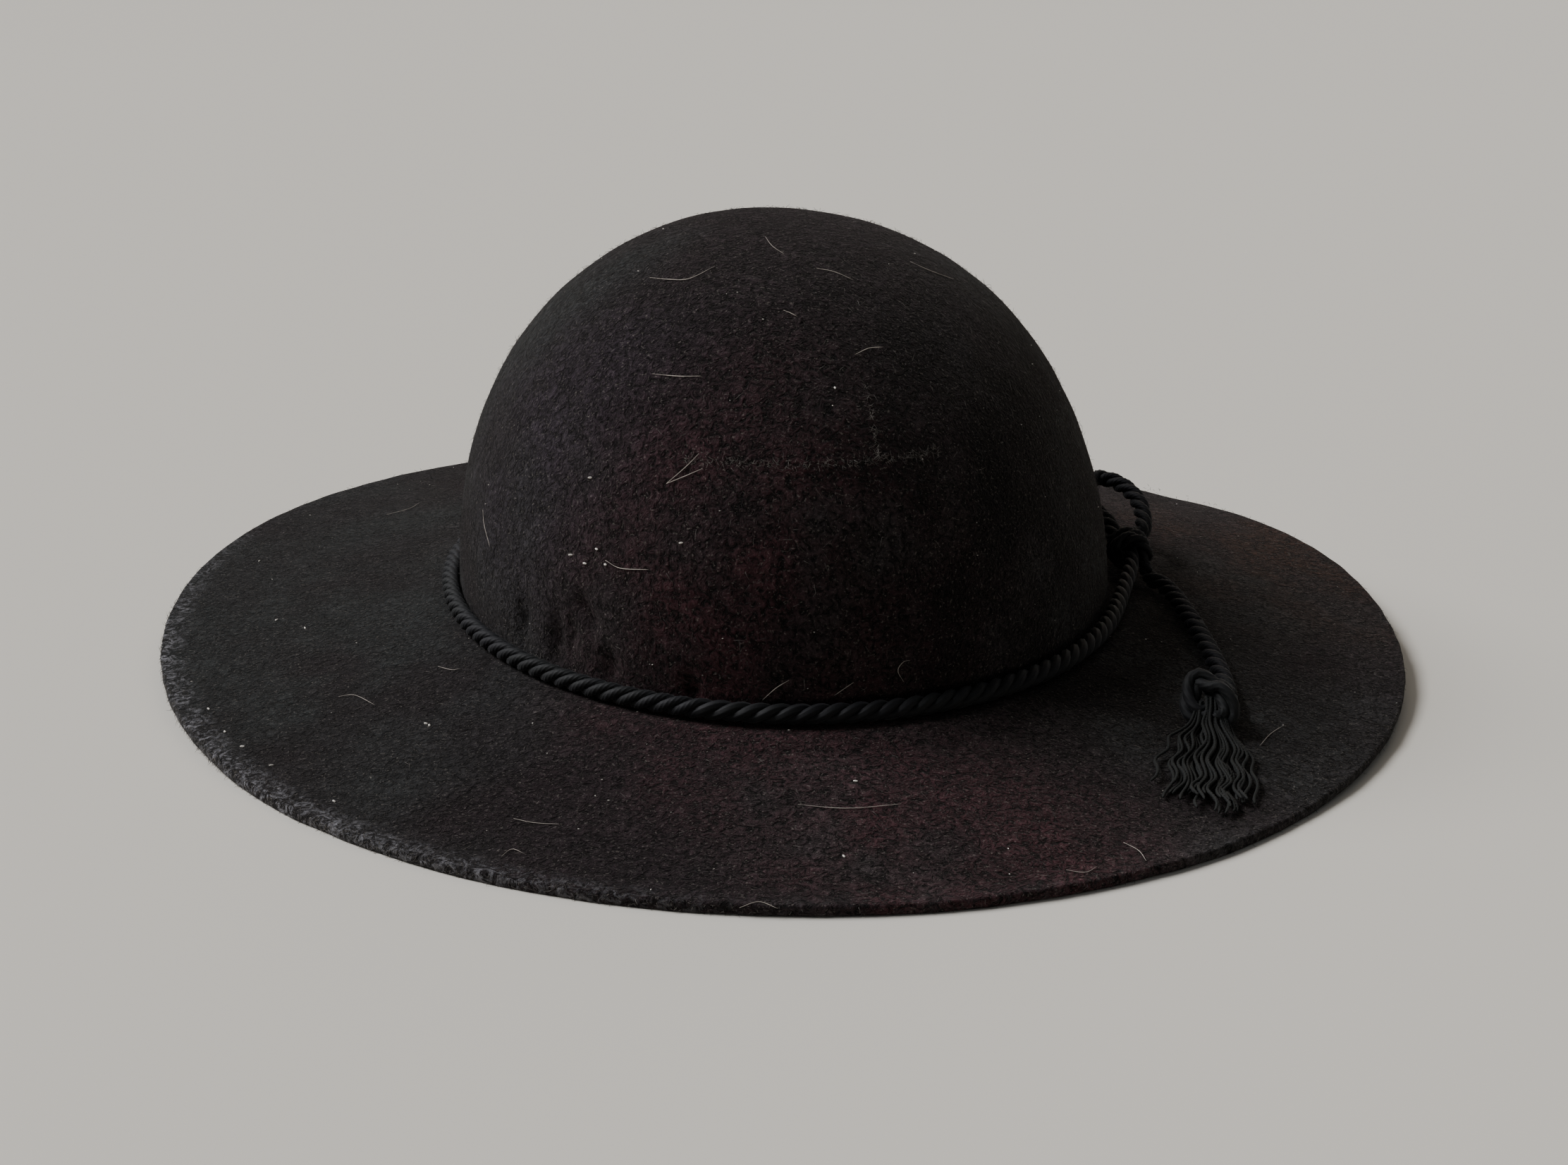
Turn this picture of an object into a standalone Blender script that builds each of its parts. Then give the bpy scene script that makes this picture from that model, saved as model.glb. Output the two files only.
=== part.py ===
"""A round-crowned, wide-brimmed hat of black wool felt, with a twisted cord round the crown.

The cord is tied at the wearer's left in a slipped hitch. Its loop stands behind the knot, and its
tail lies forward over the brim and ends in an overhand knot and a fringe of loose yarns.
Inside the crown are a grosgrain sweatband, its sewing thread and a blank label.

Metres, +Z up. The origin is the centre of the brim's outline, on the surface that the hat stands
on. +X is the wearer's left and -Y is the front.
"""
import math

import bmesh
import bpy
from mathutils import Vector

# Crown, measured on the outside of the felt. It sits a little off the brim's centre.
CROWN_HALF_WIDTH = 0.088
CROWN_HALF_LENGTH = 0.102
CROWN_HEIGHT = 0.0995
CROWN_SQUARENESS = 2.19
CROWN_X = -0.0018
FELT = 0.0026
BREAK_RADIUS = 0.003

# Brim. Its edge rises at the two sides and touches down at the front and the back, where the
# brim is narrower by the trim, a share of its width.
BRIM_WIDTH = 0.079
BRIM_TRIM = 0.1
BRIM_DROP = 0.0103
BRIM_SIDE_RISE = 0.0026
BRIM_TWIST = 0.0013
BRIM_EASE = 1.3
BRIM_PRESS = 0.0008
BREAK_Z = BRIM_DROP + BRIM_SIDE_RISE + FELT - BRIM_PRESS

# Sweatband, label and thread
RIBBON_HEIGHT = 0.026
RIBBON = 0.0007
RIBBON_FOOT = 0.0015
RIBBON_CLEAR = 0.0006
RIBBON_LAP = 0.016
SEAM_HEIGHT = 0.0025
LABEL_WIDTH = 0.014
LABEL_HEIGHT = 0.020
LABEL = 0.00035
LABEL_TOP = 0.0245
LABEL_ANGLE = math.radians(105)
THREAD_RADIUS = 0.00025

# Cord
CORD_RADIUS = 0.0024
TIGHT_RADIUS = 0.0019
LOOP_RADIUS = 0.0021
YARN_RADIUS = 0.0005
YARN_LENGTH = 0.044
YARN_ROWS = 4
YARNS_IN_ROW = 6

GAP = 0.0003
SECTORS = 48
KNOT_ANGLE = math.radians(6)
KNOT_REACH = math.radians(12)
KNOT_OFFSET = 0.0085
KNOT_HEIGHT = 0.0064
KNOT_TURNS = 2.2

# Places on the brim, as distances from the crown's axis: x to the wearer's left, y to the back.
# The swing axis, the lift hinge, the bend hinge and the tassel hinge lie on the tail's route.
TAIL_ROOT_ROUTE = ((0.1005, 0.0018), (0.1030, -0.0012), (0.1055, -0.0046))
TAIL_UPPER_ROUTE = ((0.1055, -0.0046), (0.1078, -0.0125), (0.1094, -0.0230), (0.1106, -0.0340))
TAIL_LOWER_ROUTE = ((0.1106, -0.0340), (0.1117, -0.0450), (0.1124, -0.0580), (0.1120, -0.0680),
                    (0.1098, -0.0750))
TASSEL_CENTRE = (0.1040, -0.0815)
TASSEL_RADII = (0.0072, 0.0064, 0.0056)
FRINGE_SPREAD = 0.026
# The loop's route, with the height above the crown's break as the third number.
LOOP_ROUTE = ((0.1010, 0.0202, 0.0100), (0.1015, 0.0260, 0.0118), (0.1008, 0.0325, 0.0140),
              (0.0980, 0.0395, 0.0157), (0.0935, 0.0448, 0.0165), (0.0892, 0.0445, 0.0165),
              (0.0868, 0.0385, 0.0153), (0.0872, 0.0310, 0.0134), (0.0893, 0.0250, 0.0116),
              (0.0915, 0.0202, 0.0102))


def clear_scene():
    for obj in list(bpy.data.objects):
        bpy.data.objects.remove(obj, do_unlink=True)


def material(name, colour, roughness):
    made = bpy.data.materials.new(name)
    made.use_nodes = True
    shader = made.node_tree.nodes["Principled BSDF"]
    shader.inputs["Base Color"].default_value = (*colour, 1)
    shader.inputs["Roughness"].default_value = roughness
    shader.inputs["Metallic"].default_value = 0
    made.diffuse_color = (*colour, 1)
    return made


def place(name, data, finish):
    obj = bpy.data.objects.new(name, data)
    data.materials.append(finish)
    bpy.context.scene.collection.objects.link(obj)
    return obj


def lengthwise(offset):
    """The distance to the front or the back that goes with this distance to the sides."""
    return offset * (1 - BRIM_TRIM * offset / BRIM_WIDTH)


def oval_point(angle, offset, z):
    """A point at this distance outside the crown's oval."""
    x = CROWN_X + (CROWN_HALF_WIDTH + offset) * math.cos(angle)
    return Vector((x, (CROWN_HALF_LENGTH + lengthwise(offset)) * math.sin(angle), z))


def brim_drop(angle):
    """How far the brim's edge lies below the break in this direction."""
    wave = BRIM_SIDE_RISE * math.cos(2 * angle)
    twist = BRIM_TWIST * (math.sin(3 * angle) + math.sin(angle))
    return BRIM_DROP - wave - twist


def brim_top(angle, offset):
    """Height of the brim's upper side at this distance outside the crown."""
    across = min(max(offset / BRIM_WIDTH, 0), 1)
    z = BREAK_Z - brim_drop(angle) * (1 - (1 - across) ** BRIM_EASE)
    return max(z, FELT)


def on_brim(x, y, height):
    """A point at this height above the brim, from x and y measured from the crown's axis."""
    low, high = 0.0, BRIM_WIDTH
    for _ in range(40):
        offset = (low + high) / 2
        across = x / (CROWN_HALF_WIDTH + offset)
        length = y / (CROWN_HALF_LENGTH + lengthwise(offset))
        low, high = (low, offset) if across ** 2 + length ** 2 < 1 else (offset, high)
    angle = math.atan2(y / (CROWN_HALF_LENGTH + lengthwise(low)), x / (CROWN_HALF_WIDTH + low))
    return Vector((CROWN_X + x, y, brim_top(angle, low) + height))


def smooth_route(places, step):
    """Points this far apart on a smooth curve through the given places."""
    ends = [2 * places[0] - places[1], *places, 2 * places[-1] - places[-2]]
    fine = []
    for before, start, end, after in zip(ends, ends[1:], ends[2:], ends[3:]):
        for part in range(40):
            t = part / 40
            fine.append(0.5 * (2 * start + (end - before) * t
                               + (2 * before - 5 * start + 4 * end - after) * t ** 2
                               + (3 * start - before - 3 * end + after) * t ** 3))
    fine.append(places[-1])
    walked = [0.0]
    for start, end in zip(fine, fine[1:]):
        walked.append(walked[-1] + (end - start).length)
    count = max(2, round(walked[-1] / step))
    route = []
    index = 0
    for number in range(count + 1):
        wanted = walked[-1] * number / count
        while index < len(fine) - 2 and walked[index + 1] < wanted:
            index += 1
        share = (wanted - walked[index]) / (walked[index + 1] - walked[index])
        route.append(fine[index].lerp(fine[index + 1], share))
    return route


def rounded_start(route, radius):
    """The route with a half-ball round its first point, and the radius factor at each point."""
    back = (route[0] - route[1]).normalized()
    angles = (math.radians(15), math.radians(50))
    ball = [route[0] + back * radius * math.cos(angle) for angle in angles]
    return ball + route, [math.sin(angle) for angle in angles] + [1.0] * len(route)


def shortened(route, length):
    """The route with this much taken off its end."""
    left = length
    route = list(route)
    while (route[-1] - route[-2]).length <= left:
        left -= (route[-1] - route[-2]).length
        route.pop()
    route[-1] = route[-1] + (route[-2] - route[-1]).normalized() * left
    return route


def tube(name, route, radius, finish, factors=None, closed=False, resolution=2):
    curve = bpy.data.curves.new(name, "CURVE")
    curve.dimensions = "3D"
    curve.bevel_depth = radius
    curve.bevel_resolution = resolution
    curve.use_fill_caps = True
    spline = curve.splines.new("POLY")
    spline.points.add(len(route) - 1)
    spline.use_cyclic_u = closed
    for index, (point, spot) in enumerate(zip(spline.points, route)):
        point.co = (*spot, 1)
        point.radius = factors[index] if factors else 1.0
    return place(name, curve, finish)


def mesh_node(name, made, finish, smooth=True):
    """Turns a finished bmesh into an object."""
    bmesh.ops.recalc_face_normals(made, faces=made.faces)
    mesh = bpy.data.meshes.new(name)
    made.to_mesh(mesh)
    made.free()
    if smooth:
        mesh.shade_smooth()
        mesh.set_sharp_from_angle(angle=math.radians(40))
    return place(name, mesh, finish)


def skin(made, sections):
    """Faces between each closed section and the next."""
    for section, following in zip(sections, sections[1:]):
        for index in range(len(section)):
            after = (index + 1) % len(section)
            made.faces.new((section[index], section[after], following[after], following[index]))


def strip(name, sections, finish):
    """A strip with closed ends, from the corner points of its cross-sections."""
    made = bmesh.new()
    corners = [[made.verts.new(spot) for spot in section] for section in sections]
    skin(made, corners)
    made.faces.new(corners[0])
    made.faces.new(corners[-1])
    return mesh_node(name, made, finish, smooth=False)


def dome_section(inset, lowest):
    """(share of the oval, height) down one side of the crown, this far inside its outside."""
    height = CROWN_HEIGHT - inset
    steps = 11
    start = math.asin((lowest / height) ** (CROWN_SQUARENESS / 2))
    for number in range(steps):
        slope = math.radians(85) + (start - math.radians(85)) * number / (steps - 1)
        yield (math.cos(slope) ** (2 / CROWN_SQUARENESS),
               height * math.sin(slope) ** (2 / CROWN_SQUARENESS))


def crown_ring(share, height, inset):
    """A ring of points on the crown, or on its inside, at this height above the break."""
    width = (CROWN_HALF_WIDTH - inset) * share
    length = (CROWN_HALF_LENGTH - inset) * share
    angles = [2 * math.pi * number / SECTORS for number in range(SECTORS)]
    return [Vector((CROWN_X + width * math.cos(angle), length * math.sin(angle), BREAK_Z + height))
            for angle in angles]


def brim_ring(offset, below):
    angles = [2 * math.pi * number / SECTORS for number in range(SECTORS)]
    return [oval_point(angle, offset, brim_top(angle, offset) - below) for angle in angles]


def felt_body(finish):
    """Crown and brim, blocked from one piece of felt, open below."""
    bend = [math.radians(angle) for angle in (30, 60, 90)]
    brim_steps = (0.012, 0.024, 0.036, 0.048, 0.060, 0.0712, BRIM_WIDTH)
    outside = [crown_ring(share, height, 0) for share, height in dome_section(0, BREAK_RADIUS)]
    for angle in bend:
        offset = BREAK_RADIUS * (1 - math.cos(angle))
        height = BREAK_RADIUS * (1 - math.sin(angle))
        outside.append(crown_bend_ring(offset, height))
    outside += [brim_ring(offset, 0) for offset in brim_steps]
    inside = [crown_ring(share, height, FELT) for share, height in dome_section(FELT, BREAK_RADIUS)]
    wide = BREAK_RADIUS + FELT
    for angle in bend:
        offset = BREAK_RADIUS - wide * math.cos(angle)
        height = BREAK_RADIUS - wide * math.sin(angle)
        inside.append(crown_bend_ring(offset, height))
    inside += [brim_ring(offset, FELT) for offset in brim_steps]

    made = bmesh.new()
    loops = [[made.verts.new(spot) for spot in ring] for ring in outside + inside[::-1]]
    skin(made, loops)
    for loop, height in ((loops[0], CROWN_HEIGHT), (loops[-1], CROWN_HEIGHT - FELT)):
        tip = made.verts.new((CROWN_X, 0, BREAK_Z + height))
        for index in range(SECTORS):
            made.faces.new((loop[index], loop[(index + 1) % SECTORS], tip))
    return mesh_node("felt_body", made, finish)


def crown_bend_ring(offset, height):
    """A ring of points in the bend from the crown into the brim."""
    angles = [2 * math.pi * number / SECTORS for number in range(SECTORS)]
    return [oval_point(angle, offset, BREAK_Z + height) for angle in angles]


def inside_point(angle, inset, height):
    """A point this far inside the crown's inner wall, at this height above the break."""
    room = CROWN_HEIGHT - FELT
    share = (1 - (height / room) ** CROWN_SQUARENESS) ** (1 / CROWN_SQUARENESS)
    width = (CROWN_HALF_WIDTH - FELT) * share - inset
    length = (CROWN_HALF_LENGTH - FELT) * share - inset
    return Vector((CROWN_X + width * math.cos(angle), length * math.sin(angle), BREAK_Z + height))


def lap_inset(angle):
    """How far the ribbon stands in from the wall, where it starts to climb over its own end."""
    start = math.pi / 2
    turned = angle - start
    lap = RIBBON_LAP / CROWN_HALF_WIDTH
    climb = (turned - 2 * math.pi + 2 * lap) / lap
    return (RIBBON + GAP) * min(max(climb, 0), 1)


def sweatband(finish):
    """A ribbon round the inside of the crown, whose end laps over its start at the back."""
    start = math.pi / 2
    sweep = 2 * math.pi + RIBBON_LAP / CROWN_HALF_WIDTH
    stations = [start + 2 * math.pi * number / SECTORS for number in range(SECTORS)]
    stations += [start + 2 * math.pi, start + sweep]
    heights = [RIBBON_FOOT + RIBBON_HEIGHT * share for share in (0, 0.3, 0.65, 1)]
    sections = []
    for angle in stations:
        inset = RIBBON_CLEAR + lap_inset(angle)
        near = [inside_point(angle, inset, height) for height in heights]
        far = [inside_point(angle, inset + RIBBON, height) for height in heights]
        sections.append(near + far[::-1])
    return strip("sweatband", sections, finish)


def sweatband_thread(finish):
    """The sewing thread along the ribbon's lower edge, on its inner side."""
    route = []
    for number in range(SECTORS):
        angle = math.pi / 2 + 2 * math.pi * number / SECTORS
        inset = RIBBON_CLEAR + max(lap_inset(angle), lap_inset(angle + 2 * math.pi))
        inset += RIBBON + GAP + THREAD_RADIUS
        route.append(inside_point(angle, inset, RIBBON_FOOT + SEAM_HEIGHT))
    return tube("sweatband_thread", route, THREAD_RADIUS, finish, closed=True, resolution=1)


def size_label(finish):
    """A blank woven label that hangs from the ribbon's upper edge, beside the lap."""
    half = LABEL_WIDTH / 2 / CROWN_HALF_WIDTH
    near = RIBBON_CLEAR + RIBBON + 2 * GAP
    foot = LABEL_TOP - LABEL_HEIGHT
    corners = ((LABEL_TOP, near), (foot, near), (foot, near + LABEL), (LABEL_TOP, near + LABEL))
    sections = []
    for side in (-1, 0, 1):
        angle = LABEL_ANGLE + side * half
        sections.append([inside_point(angle, inset, height) for height, inset in corners])
    return strip("size_label", sections, finish)


def knot_share(angle):
    """1 at the knot, falling to 0 where the band lies in the corner of crown and brim."""
    away = (angle - KNOT_ANGLE + math.pi) % (2 * math.pi) - math.pi
    return math.exp(-((away / KNOT_REACH) ** 2))


def band_point(angle):
    share = knot_share(angle)
    rest = CORD_RADIUS + 1.3 * GAP
    offset = rest + (KNOT_OFFSET - rest) * share
    return oval_point(angle, offset, BREAK_Z + rest + (KNOT_HEIGHT - rest) * share)


def cord_band(finish):
    """The cord once round the crown, pulled away from it and squeezed where it is knotted."""
    coarse = [2 * math.pi * number / SECTORS for number in range(SECTORS)]
    fine = [KNOT_ANGLE + math.radians(2) * number for number in range(-12, 13)]
    angles = [angle for angle in coarse
              if abs((angle - KNOT_ANGLE + math.pi) % (2 * math.pi) - math.pi) > math.radians(27)]
    angles = sorted(angles + [angle % (2 * math.pi) for angle in fine])
    squeeze = 1 - TIGHT_RADIUS / CORD_RADIUS
    factors = [1 - squeeze * knot_share(angle) ** 0.5 for angle in angles]
    return tube("cord_band", [band_point(angle) for angle in angles], CORD_RADIUS, finish,
                factors=factors, closed=True)


def cord_knot(finish):
    """Turns of the cord round the band."""
    coil = 2 * TIGHT_RADIUS + 1.2 * GAP
    pitch = 2 * TIGHT_RADIUS + 1.3 * GAP
    steps = round(12 * KNOT_TURNS)
    route = []
    for number in range(steps + 1):
        turn = KNOT_TURNS * (number / steps - 0.5)
        angle = KNOT_ANGLE + turn * pitch / (CROWN_HALF_LENGTH + KNOT_OFFSET)
        centre = band_point(angle)
        along = (band_point(angle + 0.01) - band_point(angle - 0.01)).normalized()
        across = along.cross(Vector((0, 0, 1))).normalized()
        up = across.cross(along)
        phase = 2 * math.pi * turn
        route.append(centre + across * coil * math.cos(phase) + up * coil * math.sin(phase))
    return tube("cord_knot", route, TIGHT_RADIUS, finish)


def cord_loop(finish):
    """The slipped loop: out of the knot, back over the brim, and into the knot again."""
    places = [Vector((CROWN_X + x, y, BREAK_Z + z)) for x, y, z in LOOP_ROUTE]
    route = smooth_route(places, 0.005)
    route, factors = rounded_start(route, LOOP_RADIUS)
    route, last = rounded_start(route[::-1], LOOP_RADIUS)
    return tube("cord_loop", route, LOOP_RADIUS, finish, factors=last[:2] + factors[::-1])


def tail_piece(name, places, finish):
    """One stretch of the tail: a half-ball at its hinge, and a flat end short of the next."""
    spots = [on_brim(x, y, CORD_RADIUS + 1.5 * GAP) for x, y in places]
    route = shortened(smooth_route(spots, 0.005), CORD_RADIUS + GAP)
    route, factors = rounded_start(route, CORD_RADIUS)
    return tube(name, route, CORD_RADIUS, finish, factors=factors)


def tassel_axes():
    """The tassel knot's centre, and the fringe's direction and its direction across."""
    centre = on_brim(*TASSEL_CENTRE, TASSEL_RADII[2] + 1.5 * GAP)
    along = Vector((-0.13, -0.99, 0)).normalized()
    return centre, along, Vector((-along.y, along.x, 0))


def tassel_knot(finish):
    """The overhand knot at the tail's end, with the cord's stub at the tassel's hinge."""
    centre, along, across = tassel_axes()
    hinge = on_brim(*TAIL_LOWER_ROUTE[-1], CORD_RADIUS + 1.5 * GAP)
    made = bmesh.new()
    bmesh.ops.create_uvsphere(made, u_segments=16, v_segments=10, radius=1)
    for vertex in made.verts:
        x, y, z = vertex.co
        vertex.co = (centre + across * x * TASSEL_RADII[0] + along * y * TASSEL_RADII[1]
                     + Vector((0, 0, z * TASSEL_RADII[2])))
    knot = mesh_node("tassel_knot", made, finish)

    toward = (centre - hinge).normalized()
    route, factors = rounded_start([hinge, hinge + toward * 0.004], CORD_RADIUS)
    stub = tube("tassel_stub", route, CORD_RADIUS, finish, factors=factors)
    graph = bpy.context.evaluated_depsgraph_get()
    stub_mesh = bpy.data.meshes.new_from_object(stub.evaluated_get(graph))
    welded = bmesh.new()
    welded.from_mesh(stub_mesh)
    bmesh.ops.remove_doubles(welded, verts=welded.verts, dist=0.00001)
    welded.to_mesh(stub_mesh)
    welded.free()
    bpy.data.objects.remove(stub, do_unlink=True)
    cutter = place("tassel_stub_union", stub_mesh, finish)
    cutter.hide_render = True
    cutter.display_type = "WIRE"
    union = knot.modifiers.new("stub", "BOOLEAN")
    union.operation = "UNION"
    union.object = cutter
    return knot


def fringe_yarn(row, column, finish):
    """One loose yarn, from the knot's far side down on to the brim."""
    centre, along, across = tassel_axes()
    neck = centre + along * (TASSEL_RADII[1] + 2 * GAP)
    number = row * YARNS_IN_ROW + column
    side = column - (YARNS_IN_ROW - 1) / 2
    stagger = (row - (YARN_ROWS - 1) / 2) * 0.0013
    length = YARN_LENGTH * (1 + 0.06 * math.sin(2.4 * number))
    tip_across = side * FRINGE_SPREAD / (YARNS_IN_ROW - 1) + stagger
    neck_height = neck.z + 0.0015 * (row - (YARN_ROWS - 1) / 2)
    route = []
    for step in range(9):
        share = step / 8
        bulge = abs(side) / 2.5 * 0.0006
        sideways = side * 0.0015 + (tip_across - side * 0.0015) * share ** 0.9
        spot = neck + along * (length * share + bulge) + across * sideways
        low = on_brim(spot.x - CROWN_X, spot.y, YARN_RADIUS + 1.5 * GAP + 0.00118 * row).z
        spot.z = low + (neck_height - low) * (1 - share) ** 2.2
        route.append(spot)
    return tube(f"fringe_yarn_{number + 1:02}", route, YARN_RADIUS, finish, resolution=1)


def main():
    clear_scene()
    felt = material("black wool felt", (0.016, 0.013, 0.014), 0.95)
    ribbon = material("black grosgrain ribbon", (0.02, 0.02, 0.022), 0.7)
    thread = material("black sewing thread", (0.012, 0.012, 0.013), 0.6)
    label = material("blank woven label", (0.55, 0.53, 0.48), 0.8)
    cord = material("black twisted cord", (0.012, 0.013, 0.014), 0.75)
    yarn = material("black loose yarn", (0.014, 0.015, 0.015), 0.85)
    felt_body(felt)
    sweatband(ribbon)
    sweatband_thread(thread)
    size_label(label)
    cord_band(cord)
    cord_knot(cord)
    cord_loop(cord)
    tail_piece("tail_root", TAIL_ROOT_ROUTE, cord)
    tail_piece("tail_upper", TAIL_UPPER_ROUTE, cord)
    tail_piece("tail_lower", TAIL_LOWER_ROUTE, cord)
    tassel_knot(cord)
    for row in range(YARN_ROWS):
        for column in range(YARNS_IN_ROW):
            fringe_yarn(row, column, yarn)


main()
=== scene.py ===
"""The looks of a round-crowned, wide-brimmed black felt hat with a twisted cord, round its CAD frame.

Metres, +Z up. The origin is the centre of the brim's outline, on the surface that the hat stands
on. +X is the wearer's left, where the cord is knotted, and -Y is the front.
"""

import math
import random
from functools import partial

import bmesh
import bpy
from bpy.props import FloatProperty, FloatVectorProperty, IntProperty, PointerProperty
from mathutils import Matrix, Vector, noise
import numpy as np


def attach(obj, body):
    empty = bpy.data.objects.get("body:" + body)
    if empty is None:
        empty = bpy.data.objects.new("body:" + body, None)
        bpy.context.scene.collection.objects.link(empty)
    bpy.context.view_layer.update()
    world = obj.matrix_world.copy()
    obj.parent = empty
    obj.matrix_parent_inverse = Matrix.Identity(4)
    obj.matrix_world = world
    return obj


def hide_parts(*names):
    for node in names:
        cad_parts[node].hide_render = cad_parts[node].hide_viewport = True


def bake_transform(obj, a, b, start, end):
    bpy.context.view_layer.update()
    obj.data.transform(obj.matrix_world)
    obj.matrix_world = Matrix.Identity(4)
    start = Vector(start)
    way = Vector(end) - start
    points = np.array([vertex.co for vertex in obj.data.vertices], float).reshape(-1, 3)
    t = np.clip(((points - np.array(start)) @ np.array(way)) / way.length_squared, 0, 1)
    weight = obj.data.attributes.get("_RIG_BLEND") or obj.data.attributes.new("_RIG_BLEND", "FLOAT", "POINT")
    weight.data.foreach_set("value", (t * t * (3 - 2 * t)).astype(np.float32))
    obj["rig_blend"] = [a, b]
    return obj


bl_info = {
    "name": "Felt hat with a twisted cord",
    "version": (1, 0, 0),
    "blender": (4, 5, 0),
    "location": "3D View > Sidebar > Hat",
    "description": "Makes a wide-brimmed wool felt hat, its knotted cord, its tassel and its sweatband",
    "category": "Add Mesh",
}

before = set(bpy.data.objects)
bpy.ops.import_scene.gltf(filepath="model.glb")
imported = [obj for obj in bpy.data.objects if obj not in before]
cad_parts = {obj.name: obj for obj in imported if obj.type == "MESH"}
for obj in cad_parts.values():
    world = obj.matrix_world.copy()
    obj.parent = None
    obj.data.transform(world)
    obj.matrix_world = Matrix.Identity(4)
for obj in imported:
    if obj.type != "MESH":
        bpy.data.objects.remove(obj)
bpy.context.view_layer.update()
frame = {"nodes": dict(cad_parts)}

MM = 0.001
TURN = 2 * math.pi
GAP = 0.0003
UP = Vector((0, 0, 1))

# Places on the brim, as distances from the crown's axis: x to the wearer's left, y to the back.
TAIL_PLACES = ((0.1005, 0.0018), (0.1028, -0.0012), (0.1046, -0.0046), (0.1062, -0.0125),
               (0.1076, -0.0230), (0.1088, -0.0340), (0.1098, -0.0450), (0.1106, -0.0580),
               (0.1106, -0.0680), (0.1092, -0.0750))
TASSEL_PLACE = (0.1040, -0.0815)
# How far along the tail its hinges and the joins between its pieces lie.
TAIL_LIFT_AT = 0.0082
TAIL_JOIN_AT = 0.0340
TAIL_BEND_AT = 0.0382
TASSEL_JOIN_AT = 0.0770
# How far before and after a hinge the cord bends there.
HINGE_BEFORE = 0.0032
HINGE_AFTER = 0.0038
# The loop's route from the hitch, with the height above the crown's break as the third number.
LOOP_PLACES = ((0.0997, 0.0161, 0.0088), (0.1010, 0.0202, 0.0100), (0.1015, 0.0260, 0.0118),
               (0.1008, 0.0325, 0.0140), (0.0980, 0.0395, 0.0157), (0.0935, 0.0448, 0.0165),
               (0.0892, 0.0445, 0.0165), (0.0868, 0.0385, 0.0153), (0.0872, 0.0310, 0.0134),
               (0.0893, 0.0250, 0.0116), (0.0915, 0.0202, 0.0102), (0.0923, 0.0120, 0.0078))
# The overhand knot from the tassel's hinge, in millimetres across, along and up from its centre.
OVERHAND_PLACES = ((4.9, -7.2, -3.0), (5.0, -3.8, -2.6), (3.2, 0.0, -2.9), (-0.6, 2.6, -3.1),
                   (-3.4, 3.2, -2.7), (-4.8, 1.2, -0.8), (-4.6, -1.4, 2.0), (-3.0, -2.8, 4.1),
                   (-1.0, -1.8, 3.4), (0.6, -0.4, 3.0), (2.4, 0.4, 3.2), (4.2, 2.2, 1.0),
                   (4.6, 3.8, -1.6), (3.0, 4.6, -2.9), (0.8, 5.2, -2.9), (0.0, 7.0, -2.6))

# Light hairs caught in the nap of the crown, as (angle round it in degrees, millimetres up).
CROWN_HAIRS = (
    ((-141, 89), (-133, 89.6), (-126, 90.4), (-121, 93)),
    ((-79, 94), (-72, 93.4), (-66, 92)),
    ((-111, 98), (-102, 97), (-94, 96)),
    ((-92, 87), (-90, 86.6), (-88, 86)),
    ((-120, 73), (-114, 73.4), (-109, 74)),
    ((-74, 79), (-70, 80), (-66, 80)),
    ((-111, 52), (-108, 56), (-106, 59)),
    ((-111, 52), (-108, 54), (-105, 56)),
    ((-153, 32), (-151, 29), (-148, 25)),
    ((-120, 33), (-117, 32), (-112, 33)),
    ((-93, 5), (-91, 8), (-89, 10)),
    ((-82, 6), (-80, 8), (-79, 9)),
    ((-71, 8), (-72, 11), (-71, 13), (-70, 13)),
    ((-28, 93), (-25, 91), (-17, 88)),
    ((40, 70), (46, 71), (51, 69)),
    ((95, 40), (99, 44), (104, 45)),
    ((150, 60), (154, 57), (157, 58)),
)
# Light hairs on the brim, as millimetres from the crown's axis.
BRIM_HAIRS = (
    ((4, -135), (15, -135.6), (27, -133)),
    ((-59, -138), (-54, -140), (-48, -141)),
    ((115, -91), (119, -84), (123, -79)),
    ((76, -141), (79, -144), (80, -149)),
    ((-109, -77), (-105, -77), (-99, -83)),
    ((-86, -66), (-82, -69), (-80, -69)),
    ((-60, -153), (-58, -150), (-55, -152)),
    ((-8, -174), (-4, -172), (0, -174)),
    ((62, -154), (66, -155), (69, -152)),
    ((-120, 60), (-114, 66), (-112, 73)),
    ((30, 140), (36, 143), (44, 141)),
)
# Bits of pale lint, in the same measures.
CROWN_SPECKS = ((-126, 50), (-127, 32), (-122, 35), (-124, 31), (-120, 32), (-107, 40), (-80, 73))
BRIM_SPECKS = ((-85, -94), (-84, -95), (-150, 22), (17, -125), (14, -153), (-135, -26), (-126, -33),
               (95, 60), (-141, -78), (-134, -91), (-128, -99), (-119, -109), (-101, -127))
SCATTERED_SPECKS = 190
EDGE_FIBRES = 2400
# Faint rubbed lines on the crown: start, end and how many raised fibres mark each.
RUBBED_LINES = (((-109, 57.5), (-60, 58.5), 260), ((-73, 58.5), (-73, 74), 80))
# Pits pressed into the crown above the cord: degrees round, millimetres up, and how much taller
# than wide each is.
PITS = ((-124, 21, 1.0), (-122, 17.5, 1.0), (-137, 12, 2.2), (-129, 11, 3.0), (-126, 12, 2.4),
        (-118, 8, 1.2), (-104, 6, 1.0))


def linear(code):
    """Linear red, green and blue of an sRGB hex colour."""
    parts = [int(code[start:start + 2], 16) / 255 for start in (0, 2, 4)]
    return tuple(part / 12.92 if part <= 0.04045 else ((part + 0.055) / 1.055) ** 2.4
                 for part in parts)


def size(name, description, default):
    return FloatProperty(name=name, description=description, default=default, unit="LENGTH",
                         precision=4, min=0)


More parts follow.
